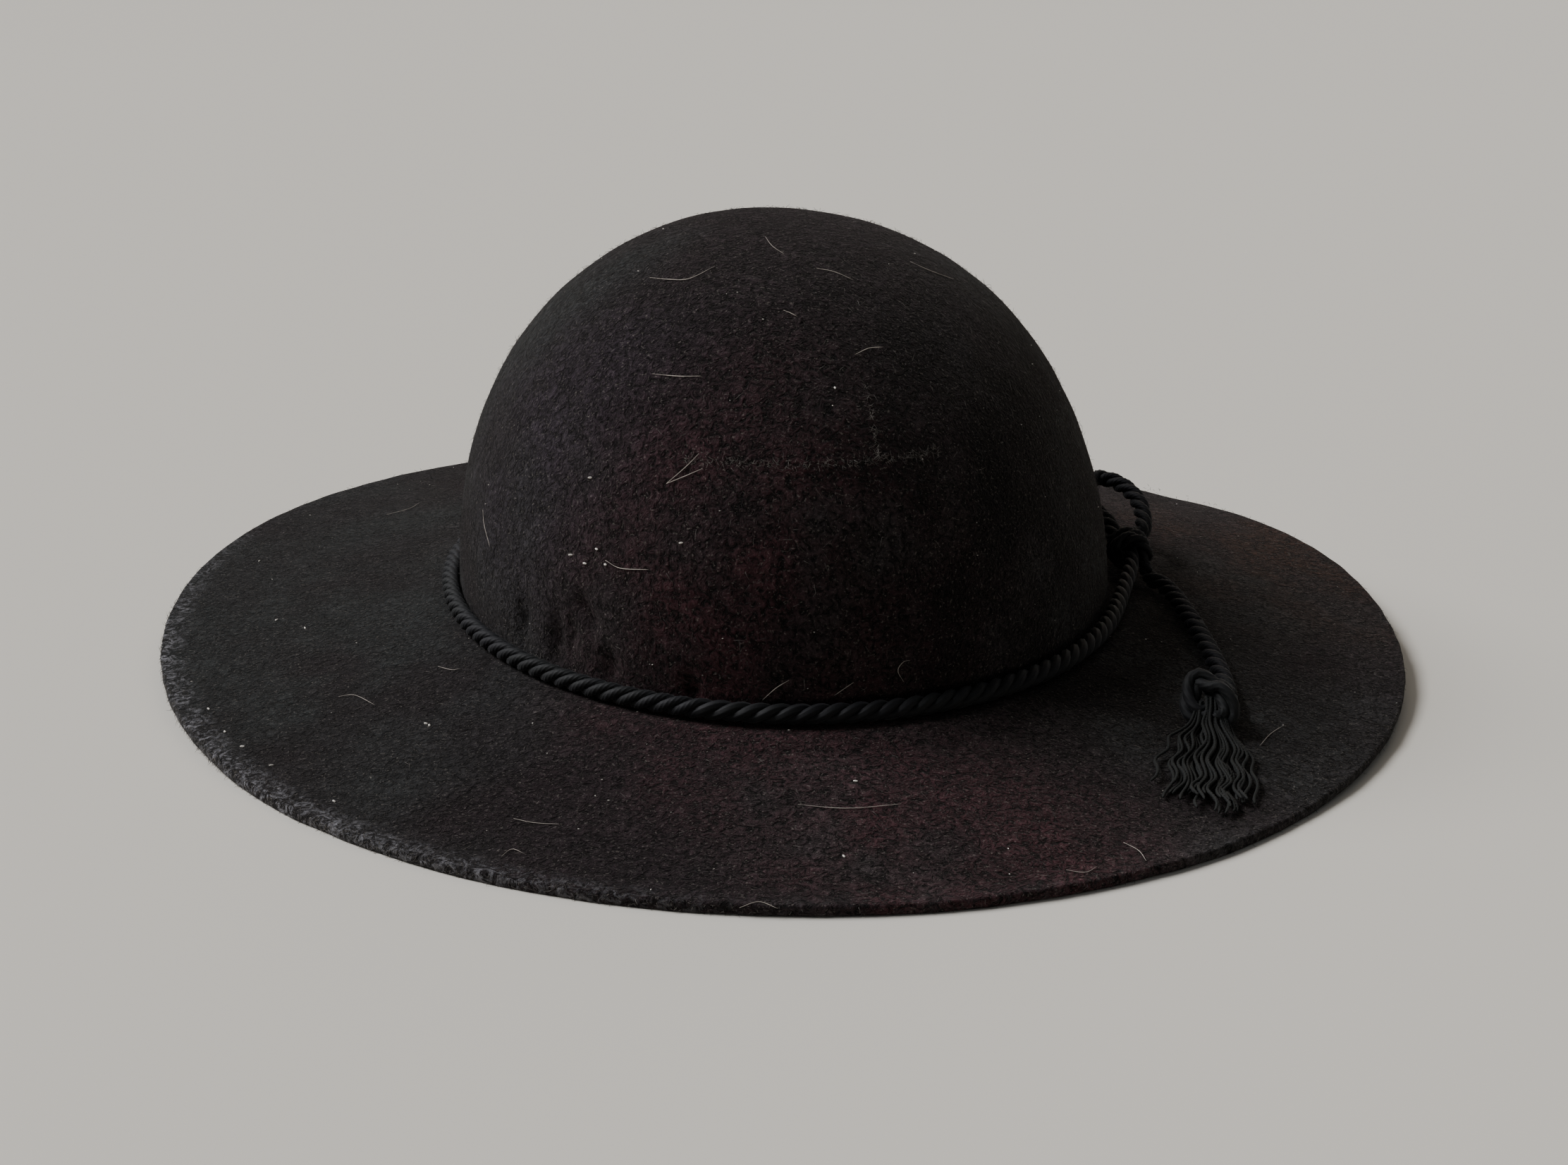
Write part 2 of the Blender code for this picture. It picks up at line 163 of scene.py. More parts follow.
def turn(name, description, degrees):
    return FloatProperty(name=name, description=description, default=math.radians(degrees),
                         subtype="ANGLE")


def colour(name, description, code):
    return FloatVectorProperty(name=name, description=description, default=linear(code),
                               subtype="COLOR", size=3, min=0, max=1)


class HatForm(bpy.types.PropertyGroup):
    """Sizes of the felt."""
    crown_half_width: size("Crown half width", "Half the crown's width outside", 0.088)
    crown_half_length: size("Crown half length", "Half the crown's length outside", 0.102)
    crown_height: size("Crown height", "From the crown's break to its tip", 0.0995)
    crown_squareness: FloatProperty(name="Crown squareness", default=2.19, min=1.5, max=4,
                                    description="Exponent of the crown's section, 2 for an ellipse")
    crown_x: FloatProperty(name="Crown offset", default=-0.0018, unit="LENGTH", precision=4,
                           description="How far the crown sits off the brim's centre")
    felt: size("Felt", "Thickness of the felt", 0.0026)
    break_radius: size("Break radius", "Radius of the bend between crown and brim", 0.003)
    brim_width: size("Brim width", "From the crown to the brim's edge at the sides", 0.079)
    brim_trim: FloatProperty(name="Brim trim", default=0.1, min=0, max=0.5, subtype="FACTOR",
                             description="How much narrower the brim is at front and back")
    brim_drop: size("Brim drop", "How far the edge lies below the break", 0.0103)
    brim_side_rise: size("Side rise", "How far the edge rises at the two sides", 0.0026)
    brim_twist: size("Brim twist", "Uneven part of the edge's rise", 0.0013)
    brim_ease: FloatProperty(name="Brim ease", default=1.3, min=1, max=3,
                             description="How soon the brim flattens towards its edge")
    brim_press: size("Brim press", "How far the brim is pressed down where it rests", 0.0008)
    sectors: IntProperty(name="Sectors", description="Faces round the felt", default=440,
                         min=48, max=600)


class FeltWear(bpy.types.PropertyGroup):
    """How the felt has moved out of its blocked shape."""
    dome_tilt: size("Dome tilt", "How far the dome sinks on the wearer's left", 0.00344)
    crown_lean: size("Crown lean", "How far the crown's sides lean to the right", 0.0013)
    droop: size("Edge droop", "How far the brim's edge droops at the back left", 0.0023)
    droop_angle: turn("Droop place", "Where the brim's edge droops", 44)
    droop_reach: turn("Droop reach", "How far the droop spreads along the edge", 13)
    lumps: size("Lumps", "Height of the soft lumps in the felt", 0.00055)
    pits: size("Pits", "Depth of the pits pressed into the felt above the cord", 0.0021)
    pit_reach: size("Pit reach", "Distance from its middle at which a pit has mostly run out", 0.0023)
    ragged: size("Ragged edge", "How far the cut edge wanders", 0.00022)
    naps: IntProperty(name="Nap fibres", description="Fibres that stand up from the felt",
                      default=13500, min=0, max=14000)
    lint: IntProperty(name="Lint fibres", description="Short light fibres in the nap",
                      default=1700, min=0, max=8000)


class CordForm(bpy.types.PropertyGroup):
    """Sizes of the twisted cord, its hitch and its tassel."""
    radius: size("Cord radius", "Radius of the cord", 0.0024)
    tight_radius: size("Tight radius", "Radius of the cord in the hitch", 0.0019)
    loop_radius: size("Loop radius", "Radius of the cord in the slipped loop", 0.0024)
    knot_radius: size("Knot radius", "Radius of the loosened cord in the tassel knot", 0.0027)
    lay: size("Lay", "Length in which a strand goes once round the cord", 0.0140)
    hitch_angle: turn("Hitch place", "Where the cord is tied, from the wearer's left", 6)
    hitch_reach: turn("Hitch reach", "How far the hitch pulls the cord off the crown", 12)
    hitch_offset: size("Hitch offset", "Distance of the hitch from the crown", 0.0085)
    hitch_height: size("Hitch height", "Height of the hitch above the break", 0.0064)
    hitch_turns: FloatProperty(name="Hitch turns", description="Turns of the cord round itself",
                               default=2.2, min=1, max=4)
    knot_height: size("Knot height", "Height of the tassel knot's centre above the brim", 0.0056)
    yarn_radius: size("Yarn radius", "Radius of a fringe yarn", 0.0005)
    yarn_length: size("Yarn length", "Length of a fringe yarn", 0.0425)
    fringe_spread: size("Fringe spread", "Width of the fringe at its widest", 0.0205)


class BandForm(bpy.types.PropertyGroup):
    """Sizes of the sweatband, its stitches and its label."""
    height: size("Ribbon height", "Width of the ribbon", 0.026)
    thickness: size("Ribbon thickness", "Thickness of the ribbon between its ribs", 0.0007)
    foot: size("Ribbon foot", "Height of the ribbon's lower edge above the break", 0.0015)
    clear: size("Ribbon clearance", "Gap between the ribbon and the felt", 0.0006)
    lap: size("Ribbon lap", "How far the ribbon's end laps over its start", 0.016)
    rib: size("Rib spacing", "Distance between the ribs of the grosgrain", 0.001)
    seam_height: size("Seam height", "Height of the stitches above the ribbon's edge", 0.0025)
    thread_radius: size("Thread radius", "Radius of the sewing thread", 0.00025)
    stitch: size("Stitch spacing", "Distance from stitch to stitch", 0.0042)
    label_width: size("Label width", "Width of the blank label", 0.014)
    label_height: size("Label height", "Height of the blank label", 0.020)
    label_thickness: size("Label thickness", "Thickness of the label", 0.00035)
    label_top: size("Label top", "Height of the label's upper edge above the break", 0.0245)
    label_angle: turn("Label place", "Where the label hangs", 105)


class HatFinish(bpy.types.PropertyGroup):
    """Colours of the hat and of what it stands on."""
    felt: colour("Felt", "Dyed wool felt", "1d1719")
    felt_faded: colour("Faded felt", "Felt where the light has reddened its dye", "301c1f")
    # Painted shade: the colour that darkens the crown's front right, which faces away from the window.
    painted_shade_felt: colour("Painted shade felt", "Felt darkened to paint the shade on the crown's front right", "080607")
    felt_violet: colour("Violet felt", "Felt whose dye has turned violet", "292329")
    felt_brown: colour("Brown felt", "Felt whose dye has turned brown", "291b15")
    felt_cool: colour("Cool felt", "Felt where dust greys it", "242626")
    nap: colour("Nap", "Fibres that stand up from the felt", "2f2a2a")
    lint: colour("Lint", "Hairs and lint caught in the nap", "b5aca2")
    cord: colour("Cord", "Dyed cotton cord", "101014")
    yarn: colour("Yarn", "The cord's yarns, opened into a fringe", "111311")
    ribbon: colour("Ribbon", "Grosgrain ribbon", "141416")
    thread: colour("Thread", "Sewing thread", "0f0f10")
    label: colour("Label", "Woven label", "c3bfb3")
    floor: colour("Floor", "Painted floor", "dad6cc")


def break_height(form):
    """Height of the break, where the crown turns into the brim."""
    return form.brim_drop + form.brim_side_rise + form.felt - form.brim_press


def lengthwise(form, offset):
    """The distance to the front or the back that goes with this distance to the sides."""
    return offset * (1 - form.brim_trim * offset / form.brim_width)


def oval_point(form, angle, offset, z):
    """A point at this distance outside the crown's oval."""
    x = form.crown_x + (form.crown_half_width + offset) * math.cos(angle)
    return Vector((x, (form.crown_half_length + lengthwise(form, offset)) * math.sin(angle), z))


def brim_top(form, angle, offset):
    """Height of the brim's upper side at this distance outside the crown."""
    wave = form.brim_side_rise * math.cos(2 * angle)
    drop = form.brim_drop - wave - form.brim_twist * (math.sin(3 * angle) + math.sin(angle))
    across = min(max(offset / form.brim_width, 0), 1)
    z = break_height(form) - drop * (1 - (1 - across) ** form.brim_ease)
    return max(z, form.felt)


def brim_place(form, x, y):
    """(angle, distance outside the crown) of a place on the brim, from x and y off the axis."""
    low, high = 0.0, form.brim_width
    width, length = form.crown_half_width, form.crown_half_length
    for _ in range(30):
        offset = (low + high) / 2
        across = x / (width + offset)
        along = y / (length + lengthwise(form, offset))
        low, high = (low, offset) if across ** 2 + along ** 2 < 1 else (offset, high)
    return math.atan2(y / (length + lengthwise(form, low)), x / (width + low)), low


def on_brim(form, x, y, height):
    """A point at this height above the brim, from x and y measured from the crown's axis."""
    return Vector((form.crown_x + x, y, brim_top(form, *brim_place(form, x, y)) + height))


def on_crown(form, angle, height, outward):
    """A point this far outside the crown's felt, at this height above the break."""
    power = form.crown_squareness
    share = (1 - (height / form.crown_height) ** power) ** (1 / power)
    x = (form.crown_half_width * share + outward) * math.cos(angle)
    y = (form.crown_half_length * share + outward) * math.sin(angle)
    return Vector((form.crown_x + x, y, break_height(form) + height + outward * (1 - share)))


def inside_point(form, angle, inset, height):
    """A point this far inside the crown's inner wall, at this height above the break."""
    power = form.crown_squareness
    share = (1 - (height / (form.crown_height - form.felt)) ** power) ** (1 / power)
    x = ((form.crown_half_width - form.felt) * share - inset) * math.cos(angle)
    y = ((form.crown_half_length - form.felt) * share - inset) * math.sin(angle)
    return Vector((form.crown_x + x, y, break_height(form) + height))


def smooth_route(places, step):
    """Points this far apart on a smooth curve through the given places."""
    ends = [2 * places[0] - places[1], *places, 2 * places[-1] - places[-2]]
    fine = []
    for before, start, end, after in zip(ends, ends[1:], ends[2:], ends[3:]):
        for part in range(24):
            t = part / 24
            fine.append(0.5 * (2 * start + (end - before) * t
                               + (2 * before - 5 * start + 4 * end - after) * t ** 2
                               + (3 * start - before - 3 * end + after) * t ** 3))
    fine.append(places[-1])
    return even_route(fine, step)


def even_route(fine, step):
    """Points this far apart along a route of close points."""
    walked = [0.0]
    for start, end in zip(fine, fine[1:]):
        walked.append(walked[-1] + (end - start).length)
    count = max(2, round(walked[-1] / step))
    route = []
    index = 0
    for number in range(count + 1):
        wanted = walked[-1] * number / count
        while index < len(fine) - 2 and walked[index + 1] < wanted:
            index += 1
        share = (wanted - walked[index]) / (walked[index + 1] - walked[index])
        route.append(fine[index].lerp(fine[index + 1], share))
    return route


def eased(value):
    """0 below 0, 1 above 1, and smooth between."""
    value = min(max(value, 0), 1)
    return value * value * (3 - 2 * value)


def frames_along(route, closed=False):
    """(place, along, across, up, distance) at each point of a route.

    The frames of a closed route stay level, and those of an open one turn no more than it does.
    """
    frames = []
    walked = 0.0
    across = None
    for number, place in enumerate(route):
        if closed:
            before, after = route[number - 1], route[(number + 1) % len(route)]
        else:
            before, after = route[max(number - 1, 0)], route[min(number + 1, len(route) - 1)]
        along = (after - before).normalized()
        if closed or across is None:
            across = along.cross(UP).normalized()
        if not closed:
            across = (across - along * across.dot(along)).normalized()
        if number:
            walked += (place - route[number - 1]).length
        frames.append((place, along, across, across.cross(along), walked))
    return frames


def add_object(name, data):
    obj = bpy.data.objects.new(name, data)
    bpy.context.scene.collection.objects.link(obj)
    return obj


def put_in_order(made):
    """Puts a mesh's vertices, edges and faces in the same order every time.

    Some operators leave their order to chance, and fibres are scattered by a face's number.
    """
    placed = sorted(made.verts, key=lambda vert: vert.co[:])
    rank = {vert: number for number, vert in enumerate(placed)}
    made.verts.sort(key=rank.get)
    made.verts.index_update()
    for items in (made.edges, made.faces):
        corners = {item: sorted(vert.index for vert in item.verts) for item in items}
        rank = {item: number for number, item in enumerate(sorted(items, key=corners.get))}
        items.sort(key=rank.get)


def object_from(made, name, smooth=True):
    """The object of a finished bmesh."""
    mesh = bpy.data.meshes.new(name)
    made.to_mesh(mesh)
    made.free()
    if smooth:
        mesh.shade_smooth()
    return add_object(name, mesh)


def spun(made, chain, steps):
    """Spins a chain of vertices once round the upright axis."""
    edges = [made.edges.new(pair) for pair in zip(chain, chain[1:])]
    bmesh.ops.spin(made, geom=chain + edges, cent=(0, 0, 0), axis=UP, angle=TURN, steps=steps,
                   use_merge=True)


def outline_curve(radii):
    """A closed outline with these distances from its middle, evenly round it."""
    curve = bpy.data.curves.new("outline", "CURVE")
    curve.dimensions = "2D"
    spline = curve.splines.new("POLY")
    spline.points.add(len(radii) - 1)
    spline.use_cyclic_u = True
    for number, (point, radius) in enumerate(zip(spline.points, radii)):
        angle = TURN * number / len(radii)
        point.co = (radius * math.cos(angle), radius * math.sin(angle), 0, 1)
    return add_object("outline", curve)


def tubes(name, routes, radii, closed=False):
    """One mesh of tubes with that outline. Each route is a list of (place, scale, twist)."""
    outline = outline_curve(radii)
    curve = bpy.data.curves.new(name, "CURVE")
    curve.dimensions = "3D"
    curve.bevel_mode = "OBJECT"
    curve.bevel_object = outline
    curve.use_fill_caps = True
    curve.twist_mode = "MINIMUM"
    for route in routes:
        spline = curve.splines.new("POLY")
        spline.points.add(len(route) - 1)
        spline.use_cyclic_u = closed
        for point, (place, scale, twist) in zip(spline.points, route):
            point.co = (*place, 1)
            point.radius = scale
            point.tilt = twist
    guide = add_object("guide", curve)
    graph = bpy.context.evaluated_depsgraph_get()
    mesh = bpy.data.meshes.new_from_object(guide.evaluated_get(graph))
    mesh.name = name
    for helper in (guide, outline):
        data = helper.data
        bpy.data.objects.remove(helper, do_unlink=True)
        bpy.data.curves.remove(data)
    made = bmesh.new()
    made.from_mesh(mesh)
    bmesh.ops.remove_doubles(made, verts=made.verts, dist=0.000004)
    bmesh.ops.recalc_face_normals(made, faces=made.faces)
    made.to_mesh(mesh)
    made.free()
    mesh.shade_smooth()
    return add_object(name, mesh)


def twisted_cord(name, frames, radius_at, lay, closed=False, blunt=True, opened=1.0):
    """Three strands laid left-handed round a route, each a bundle of yarns twisted the other way.

    Opened is the distance after which the twist has come half undone.
    """
    strands = []
    for strand in range(3):
        route = []
        for number, (place, _, across, up, walked) in enumerate(frames):
            turns = (walked - 0.6 * max(walked - opened, 0)) / lay
            angle = TURN * (strand / 3 + turns)
            radius = radius_at(walked)
            out = across * math.cos(angle) + up * math.sin(angle)
            ends = min(number, len(frames) - 1 - number)
            narrow = 1 if closed or blunt or ends > 2 else (0.35, 0.75, 0.95)[ends]
            uneven = 1 + 0.035 * noise.noise(place * 420 + Vector((0, 0, 9.1 * strand)))
            route.append((place + out * radius * 0.53 * narrow, radius * 0.505 * narrow * uneven,
                          -1.9 * TURN * turns))
        strands.append(route)
    return tubes(name, strands, (0.88, 1.0, 1.0) * 7, closed)


def add_node(tree, kind, links=(), **settings):
    """Adds a node, whose links pair an input with a value, a socket or the node that feeds it.

    A setting in small letters is one of its properties; one with a capital is an input by name.
    """
    made = tree.nodes.new("ShaderNode" + kind)
    inputs = dict(links)
    for name, value in settings.items():
        if name[0].isupper():
            inputs[name.replace("_", " ")] = value
        else:
            setattr(made, name, value)
    for target, source in inputs.items():
        if isinstance(source, bpy.types.Node):
            source = next(socket for socket in source.outputs if socket.enabled)
        if isinstance(source, bpy.types.NodeSocket):
            tree.links.new(source, made.inputs[target])
        else:
            made.inputs[target].default_value = source
    return made


def new_material(name):
    """An empty material, what adds a node to it, and the place on the piece."""
    made = bpy.data.materials.new(name)
    made.use_nodes = True
    made.node_tree.nodes.clear()
    add = partial(add_node, made.node_tree)
    return made, add, add("TexCoord").outputs["Object"]


def shaded(add, tint, value, span, brightness):
    """The tint, made darker or lighter as a value runs over its span."""
    level = add("MapRange", Value=value, From_Min=span[0], From_Max=span[1],
                To_Min=brightness[0], To_Max=brightness[1])
    return add("VectorMath", {0: tuple(tint), "Scale": level}, operation="SCALE")


def surface(add, **inputs):
    """The material's shader and its output."""
    add("OutputMaterial", Surface=add("BsdfPrincipled", **inputs))


def per(millimetres):
    """The texture scale whose grains are this size."""
    return 1 / (millimetres * MM)


def wool_felt(finish):
    """Wool felt, carded, fulled and dyed black: a matt mat of crossing fibres in small clumps.

    It takes light softly and shows a dull bloom where it is seen edge on. Light has reddened the
    dye at the front of the crown, and dust greys the brim. Painted shade darkens the crown's front
    right, and the clumps carry painted shade between them and painted highlight on their tops.
    """
    made, add, place = new_material("black wool felt")
    patches = add("TexNoise", Vector=place, Scale=per(75), Detail=2.0, Roughness=0.5)
    patch = add("MapRange", Value=patches, From_Min=0.42, From_Max=0.62)
    dye_and_painted_shade = add("Mix", {0: patch, 6: (*finish.felt, 1), 7: (*finish.felt_cool, 1)},
               data_type="RGBA")
    # Where the dye has turned, and one patch of painted shade on the crown's front right: the patch's
    # centre, the distances over which it fades out, how strong it is in the middle, and its colour. A
    # finer noise breaks each patch up.
    broken = add("TexNoise", Vector=place, Scale=per(24), Detail=2.0)
    parts = add("MapRange", Value=broken, From_Min=0.36, From_Max=0.6, To_Min=0.3)
    for centre, near, far, most, shade in (
            ((-0.122, -0.045, 0.010), 0.030, 0.105, 1.1, finish.felt_cool),
            ((-0.052, -0.055, 0.065), 0.015, 0.060, 0.8, finish.felt_violet),
            ((0.006, -0.098, 0.040), 0.028, 0.085, 1.0, finish.felt_faded),
            ((0.040, -0.150, 0.004), 0.020, 0.065, 1.0, finish.felt_faded),
            ((0.130, 0.040, 0.012), 0.030, 0.095, 1.0, finish.felt_brown),
            # Painted shade on the crown's front right, which faces away from the window.
            ((0.076, -0.052, 0.052), 0.045, 0.105, 1.0, finish.painted_shade_felt)):
        away = add("VectorMath", {0: place, 1: centre}, operation="DISTANCE")
        reach = add("MapRange", Value=away, From_Min=near, From_Max=far, To_Min=most, To_Max=0.0,
                    interpolation_type="SMOOTHSTEP")
        share = add("Math", {0: reach, 1: parts}, operation="MULTIPLY")
        dye_and_painted_shade = add("Mix", {0: share, 6: dye_and_painted_shade, 7: (*shade, 1)}, data_type="RGBA")
    # Cloudy mottling where the fulling packed the wool more or less.
    mottle = add("TexNoise", Vector=place, Scale=per(9), Detail=3.0, Roughness=0.6)
    mottled = add("MapRange", Value=mottle, From_Min=0.3, From_Max=0.7, To_Min=0.80, To_Max=1.22)
    # Clumps of fibre, drawn a little coarser than real ones so that they show. Their colour follows the
    # same noise as the bump: partly the fibre's own uneven tone, partly painted shade between the
    # clumps and painted highlight on their tops.
    clump = add("TexNoise", Vector=place, Scale=per(2.0), Detail=3.0, Roughness=0.62,
                Distortion=1.3)
    clump_tone_and_shade = add("MapRange", Value=clump, From_Min=0.38, From_Max=0.64, To_Min=0.08, To_Max=2.5)
    # The nap is rubbed smoother on the wearer's right.
    sideways = add("SeparateXYZ", {0: place})
    rough_at = add("MapRange", Value=sideways, From_Min=-0.11, From_Max=-0.01, To_Min=0.45,
                   To_Max=1.0)
    grain = add("Mix", {0: rough_at, 2: 1.3, 3: clump_tone_and_shade})
    # The mottled tone times the clumps' tone, painted shade and painted highlight.
    mottle_and_clump_shade = add("Math", {0: mottled, 1: grain}, operation="MULTIPLY")
    darkened = add("VectorMath", {0: dye_and_painted_shade, "Scale": mottle_and_clump_shade}, operation="SCALE")
    # Fine pale dust that sits on the highest fibres.
    dust = add("TexNoise", Vector=place, Scale=per(0.62), Detail=2.0, Roughness=0.6)
    dusty = add("MapRange", Value=dust, From_Min=0.60, From_Max=0.72, To_Max=0.24)
    coat = add("Mix", {0: dusty, 6: darkened, 7: (*finish.lint, 1)}, data_type="RGBA")
    # Grey tufts rubbed up along the cut edge at the wearer's front right.
    spread = add("VectorMath", {0: place, 1: (1 / 0.1665, 1 / 0.1725, 0)}, operation="MULTIPLY")
    far = add("VectorMath", {0: spread}, operation="LENGTH")
    rim = add("MapRange", Value=far, From_Min=0.968, From_Max=0.997)
    toward = add("VectorMath", {0: spread, 1: (-0.83, -0.56, 0)}, operation="DOT_PRODUCT")
    side = add("MapRange", Value=toward, From_Min=0.6, From_Max=0.95, To_Min=0.08, To_Max=1.0)
    tuft = add("TexNoise", Vector=place, Scale=per(2.8), Detail=4.0, Roughness=0.7,
               Distortion=1.6)
    tufted = add("MapRange", Value=tuft, From_Min=0.48, From_Max=0.64)
    rubbed = add("Math", {0: rim, 1: side}, operation="MULTIPLY")
    pale = add("Math", {0: rubbed, 1: tufted}, operation="MULTIPLY")
    edged = add("Mix", {0: pale, 6: coat, 7: (*linear("858488"), 1)}, data_type="RGBA")
    fibre = add("TexNoise", Vector=place, Scale=per(0.5), Detail=3.0, Roughness=0.7,
                Distortion=1.8)
    coarse = add("Bump", Height=clump, Strength=1.0, Distance=3.2 * MM)
    fine = add("Bump", Height=fibre, Strength=0.7, Distance=0.35 * MM, Normal=coarse)
    surface(add, Base_Color=edged, Normal=fine,
            Roughness=add("MapRange", Value=fibre, To_Min=0.88, To_Max=1.0),
            Specular_IOR_Level=0.12, Sheen_Weight=0.12, Sheen_Roughness=0.42,
            Sheen_Tint=(*linear("c9bfb8"), 1))
    return made


def loose_fibre(name, tint, sheen):
    """Loose wool or cotton fibre, matt and uneven in its dye."""
    made, add, place = new_material(name)
    uneven = add("TexNoise", Vector=place, Scale=per(3), Detail=2.0)
    surface(add, Base_Color=shaded(add, tint, uneven, (0.3, 0.7), (0.55, 1.35)), Roughness=0.8,
            Specular_IOR_Level=0.25, Sheen_Weight=sheen)
    return made


def cotton_cord(name, tint, grain):
    """Mercerised cotton, spun, dyed black and laid up: soft satin strands with fine fibre lines."""
    made, add, place = new_material(name)
    fibre = add("TexNoise", Vector=place, Scale=per(grain), Detail=3.0, Roughness=0.65,
                Distortion=0.8)
    # Dye that took a little greener in some yarns and bluer in others.
    batch = add("TexNoise", Vector=place, Scale=per(14), Detail=1.0)
    hue = add("MapRange", Value=batch, From_Min=0.4, From_Max=0.6, To_Max=0.5)
    green = add("Mix", {0: hue, 6: shaded(add, tint, fibre, (0.3, 0.7), (0.62, 1.5)),
                        7: (*linear("0f120f"), 1)}, data_type="RGBA")
    surface(add, Base_Color=green, Normal=add("Bump", Height=fibre, Strength=0.45,
                                              Distance=0.16 * MM),
            Roughness=add("MapRange", Value=fibre, To_Min=0.55, To_Max=0.8),
            Specular_IOR_Level=0.28, Sheen_Weight=0.06, Sheen_Roughness=0.4)
    return made


def woven(name, tint, thread, roughness):
    """Tightly woven thread, seen as rows of small beads that cross along the piece's own UV map."""
    made, add, place = new_material(name)
    lie = add("UVMap", uv_map="weave")
    spread = add("VectorMath", {0: lie, "Scale": TURN * per(thread)}, operation="SCALE")
    apart = add("SeparateXYZ", {0: spread})
    warp = add("Math", {0: apart.outputs[0]}, operation="SINE")
    weft = add("Math", {0: apart.outputs[1]}, operation="SINE")
    bead = add("Math", {0: warp, 1: weft}, operation="MULTIPLY")
    fibre = add("TexNoise", Vector=place, Scale=per(0.35), Detail=3.0, Roughness=0.6)
    height = add("Math", {0: bead, 1: 0.25, 2: fibre}, operation="MULTIPLY_ADD")
    surface(add, Base_Color=shaded(add, tint, height, (0.2, 0.8), (0.6, 1.3)),
            Normal=add("Bump", Height=height, Strength=0.5, Distance=0.12 * MM),
            Roughness=add("MapRange", Value=fibre, To_Min=roughness - 0.08,
                          To_Max=roughness + 0.1), Sheen_Weight=0.08)
    return made


def painted_floor(finish):
    """Matt painted board: a plain pale tone, faintly uneven."""
    made, add, place = new_material("matt painted floor")
    tone = add("TexNoise", Vector=place, Scale=per(900), Detail=1.0)
    surface(add, Base_Color=shaded(add, finish.floor, tone, (0.0, 1.0), (0.98, 1.02)),
            Roughness=0.9, Specular_IOR_Level=0.1)
    return made


def finished(obj, material, body, slot, *nodes):
    """Gives a finished piece its material, its body and the nodes that it stands for; its slot is not used.
    """
    obj.data.materials.clear()
    obj.data.materials.append(material)
    if body:
        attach(obj, body)
    if nodes:
        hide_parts(*nodes)


def felt_profile(form):
    """The felt's section, from the crown's tip out round the brim's edge and back up inside.

    Each place is (share of the crown's oval, distance outside that, height from the break, how
    far it has come from the crown's bend on to the brim).
    """
    power = form.crown_squareness
    bend = form.break_radius
    wide = bend + form.felt

    def dome(inset, steps):
        height = form.crown_height - inset
        start = math.asin((bend / height) ** (power / 2))
        for number in range(steps):
            slope = math.pi / 2 + (start - math.pi / 2) * number / (steps - 1)
            share = max(math.cos(slope), 0) ** (2 / power)
            yield share, -inset * share, height * math.sin(slope) ** (2 / power), 0.0

    def across(start, end, steps, below):
        for number in range(1, steps + 1):
            offset = start + (end - start) * number / steps
            yield 1.0, offset, -below, eased((offset - bend) / (4 * bend))

    section = list(dome(0, 60))
    for number in range(1, 6):
        angle = math.pi / 2 * number / 5
        section.append((1.0, bend * (1 - math.cos(angle)), bend * (1 - math.sin(angle)), 0.0))
    corner = 0.3 * form.felt
    edge = form.brim_width - corner
    section += across(bend, edge, 44, 0)
    for angle in (30, 60, 90):
        turned = math.radians(angle)
        section.append((1.0, edge + corner * math.sin(turned), corner * (math.cos(turned) - 1), 1.0))
    section.append((1.0, form.brim_width, -form.felt / 2, 1.0))
    for angle in (90, 60, 30, 0):
        turned = math.radians(angle)
        section.append((1.0, edge + corner * math.sin(turned),
                        corner * (1 - math.cos(turned)) - form.felt, 1.0))
    section += across(edge, bend, 22, form.felt)
    for number in range(4, -1, -1):
        angle = math.pi / 2 * number / 5
        section.append((1.0, bend - wide * math.cos(angle), bend - wide * math.sin(angle), 0.0))
    section += list(dome(form.felt, 34))[-2::-1]
    return section


def felt_place(form, wear, angle, share, offset, level, brim):
    """Where a point of the felt's section lies in this direction, as blocked and then as worn."""
    top = break_height(form)
    x = form.crown_x + (form.crown_half_width * share + offset) * math.cos(angle)
    y = (form.crown_half_length * share + lengthwise(form, offset)) * math.sin(angle)
    z = top + level + (brim_top(form, angle, offset) - top) * brim
    lowest = max(0.0, form.felt + level) if brim else -1.0
    up = max(level, 0) / form.crown_height
    if not brim:
        z -= wear.dome_tilt * share * math.cos(angle) * up
        x -= wear.crown_lean * 4 * up * (1 - up)
    out = max(offset, 0) / form.brim_width
    away = (angle - wear.droop_angle + math.pi) % TURN - math.pi
    z -= wear.droop * math.exp(-((away / wear.droop_reach) ** 2)) * out ** 2
    spot = Vector((x, y, z))
    soft = noise.noise_vector(spot / 0.042) * wear.lumps
    soft += noise.noise_vector(spot / 0.010) * wear.lumps * 0.4
    spot += soft * (1 - 0.5 * out)
    for place, height, tall in PITS:
        away = spot - on_crown(form, math.radians(place), height * MM, 0)
        away.z /= tall
        near = away.length_squared / wear.pit_reach ** 2
        if near < 6 and offset >= 0:
            inward = Vector((math.cos(angle), math.sin(angle), 0)) * -wear.pits
            spot += inward * math.exp(-near)
    if out > 0.9:
        wander = noise.noise(spot / 0.009) + 0.6 * noise.noise(spot / 0.0025)
        spot += Vector((math.cos(angle), math.sin(angle), 0)) * wander * wear.ragged
    spot.z = max(spot.z, lowest)
    return spot


